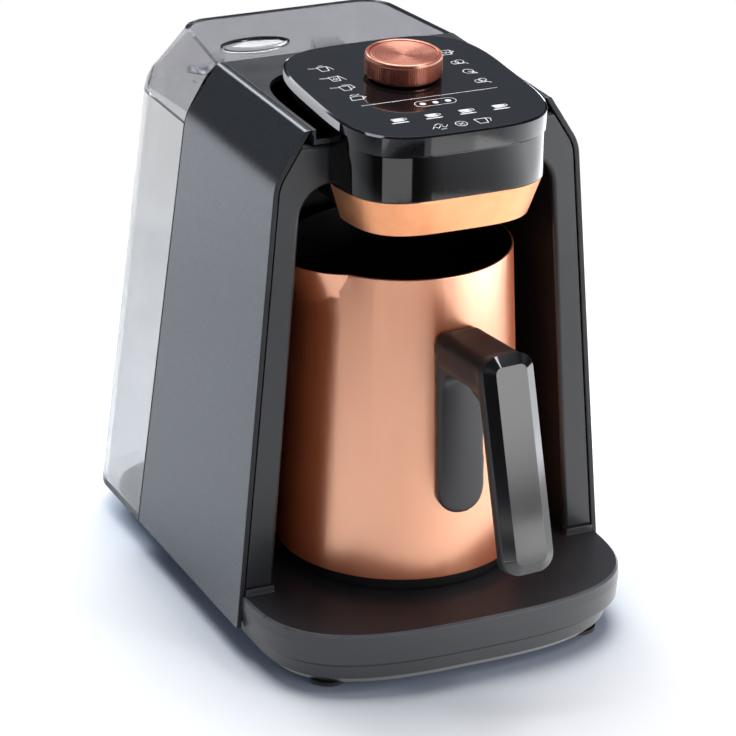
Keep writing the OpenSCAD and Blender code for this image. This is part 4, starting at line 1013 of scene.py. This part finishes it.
def lamp(name, place, aim, size, power):
    """Soft box at a place, turned to its aim, with its size in metres and its power in watts."""
    data = bpy.data.lights.new(name, "AREA")
    data.shape = "RECTANGLE"
    data.size, data.size_y = size
    data.energy = power
    held = bpy.data.objects.new(name, data)
    held.location = place
    held.rotation_euler = (Vector(aim) - Vector(place)).to_track_quat("-Z", "Y").to_euler()
    held.visible_camera = False
    bpy.context.scene.collection.objects.link(held)


def card_arc(name, start, end, reach, low, high, glows):
    """Upright light cards side by side round the head's front, reach metres away from it, from start to
    end in degrees anticlockwise from the right, and from low to high in metres. Each has its own glow, in
    watts per square metre and steradian."""
    step = (end - start) / len(glows)
    wide = 2 * reach * math.tan(math.radians(step) / 2)
    middle = HEAD_FRONT + Vector((0, 0, (low + high) / 2))
    for i, glow in enumerate(glows):
        turn = math.radians(start + (i + 0.5) * step)
        place = middle + reach * Vector((math.cos(turn), math.sin(turn), 0))
        lamp(f"{name}_{i + 1}", place, middle, (wide, high - low), glow * math.pi * wide * (high - low))


def black_flag():
    """Strip of black flock on a stand at the left, which the panel's front edge mirrors."""
    reach, low, tall = 0.35, 0.07, 0.014
    begin, turn = math.radians(220), math.radians(62)
    foot = HEAD_FRONT + Vector((reach * math.cos(begin), reach * math.sin(begin), low))
    bm = bmesh.new()
    ends = [bm.verts.new(foot), bm.verts.new(foot + tall * UP)]
    bmesh.ops.spin(
        bm, geom=ends + [bm.edges.new(ends)], cent=HEAD_FRONT, axis=UP, dvec=(0, 0, 0), angle=turn,
        steps=24, use_duplicate=False,
    )
    flag = placed(bm, "black_flag")
    flag.data.materials.append(surface("black_flock", "#050505", "#080808", 0.9, 0.6, 0.02))
    flag.visible_camera = False


def dim_room():
    """A dim, bluish room, brightest 30 degrees above the horizon, and plain white where the camera looks."""
    world = bpy.data.worlds.new("dim_room")
    world.use_nodes = True
    tree = world.node_tree
    tree.nodes.clear()
    direction = add(tree, "TexCoord").outputs["Generated"]
    height = add(tree, "SeparateXYZ", {"Vector": direction}).outputs["Z"]
    level = product(
        tree, spread(tree, height, 0.03, 0.46, 0.18, 0.5), spread(tree, height, 1, 0.25, 0.5, 0.65)
    )
    sky = add(tree, "Background", {"Color": linear("#d2dcef"), "Strength": level}).outputs[0]
    white = add(tree, "Background", {"Color": linear("#ffffff"), "Strength": 1.0}).outputs[0]
    seen = seen_ray(tree, add(tree, "LightPath").outputs)
    out = tree.nodes.new("ShaderNodeOutputWorld").inputs[0]
    tree.links.new(mixed_shader(tree, seen, sky, white), out)
    return world


def studio_camera(settings):
    """Camera on its stand, turned by azimuth, elevation and roll."""
    azimuth, elevation, roll = settings.azimuth, settings.elevation, settings.roll
    level = math.cos(elevation)
    back = Vector((math.sin(azimuth) * level, -math.cos(azimuth) * level, math.sin(elevation)))
    right = Vector((math.cos(azimuth), math.sin(azimuth), 0))
    up = back.cross(right)
    x = math.cos(roll) * right + math.sin(roll) * up
    y = -math.sin(roll) * right + math.cos(roll) * up
    data = bpy.data.cameras.new("studio_camera")
    data.lens = settings.lens
    data.sensor_width = 36
    data.clip_start = 0.05
    camera = bpy.data.objects.new("studio_camera", data)
    stand = pot_axis() + Vector(settings.stand)
    camera.matrix_world = Matrix.Translation(stand) @ Matrix((x, y, back)).transposed().to_4x4()
    bpy.context.scene.collection.objects.link(camera)
    return camera


class COFFEE_OT_studio(bpy.types.Operator):
    """Pale floor, soft lamps and the camera"""

    bl_idname = "coffee.studio"
    bl_label = "Studio"

    def execute(self, context):
        settings = context.scene.coffee_studio
        bm = bmesh.new()
        bmesh.ops.create_grid(bm, x_segments=1, y_segments=1, size=FLOOR_REACH)
        floor = placed(bm, "studio_floor")
        floor.data.materials.append(paper_floor(settings.floor_lift))
        # place, aim, size and power
        lamp("ceiling_box", (0.12, 0.35, 1.3), (0, 0, 0), (1.1, 0.9), 20)
        lamp("front_box", (1.25, -2.1, 0.45), (0, 0, 0.15), (1.2, 0.6), 10.8)
        card_arc("left_card", 213, 268, 0.48, 0.034, 0.09, (2.1, 2.1, 2.1))
        card_arc("right_card", 287, 350, 0.35, 0.07, 0.0895, (1.6, 3.4, 4.6, 5.2, 6.0))
        lamp("edge_light", (0.58, -0.65, 1.35), (0, -0.08, 0.25), (0.25, 0.15), 1.5)
        lamp("back_rim", (-0.15, 1.6, 1.25), (0, 0, 0.2), (0.9, 0.5), 8)
        black_flag()
        context.scene.world = dim_room()
        context.scene.camera = studio_camera(settings)
        context.scene.view_settings.view_transform = "Standard"
        return {"FINISHED"}


# ------------------------------------------------------------------ add-on


class COFFEE_PT_panel(bpy.types.Panel):
    """Lists the coffee maker's settings and pieces"""

    bl_idname = "COFFEE_PT_panel"
    bl_label = "Coffee Maker"
    bl_space_type = "VIEW_3D"
    bl_region_type = "UI"
    bl_category = "Coffee Maker"

    def draw(self, context):
        for name, group in GROUPS.items():
            box = self.layout.box()
            box.label(text=name.removeprefix("coffee_").title())
            for setting in group.__annotations__:
                box.prop(getattr(context.scene, name), setting)
        for operator in OPERATORS:
            self.layout.operator(operator.bl_idname)


GROUPS = {
    "coffee_housing": HousingSettings,
    "coffee_knob": KnobSettings,
    "coffee_pot": PotSettings,
    "coffee_studio": StudioSettings,
}
OPERATORS = (
    COFFEE_OT_inside,
    COFFEE_OT_housing,
    COFFEE_OT_head,
    COFFEE_OT_knob,
    COFFEE_OT_print,
    COFFEE_OT_pot,
    COFFEE_OT_handle,
    COFFEE_OT_tank,
    COFFEE_OT_studio,
)


def register():
    for name, group in GROUPS.items():
        bpy.utils.register_class(group)
        setattr(bpy.types.Scene, name, bpy.props.PointerProperty(type=group))
    for made in OPERATORS + (COFFEE_PT_panel,):
        bpy.utils.register_class(made)


def unregister():
    for made in reversed(OPERATORS + (COFFEE_PT_panel,)):
        bpy.utils.unregister_class(made)
    for name, group in GROUPS.items():
        delattr(bpy.types.Scene, name)
        bpy.utils.unregister_class(group)


def main():
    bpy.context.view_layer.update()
    register()
    for operator in OPERATORS:
        getattr(bpy.ops.coffee, operator.bl_idname.split(".")[1])()


if __name__ == "__main__":
    main()
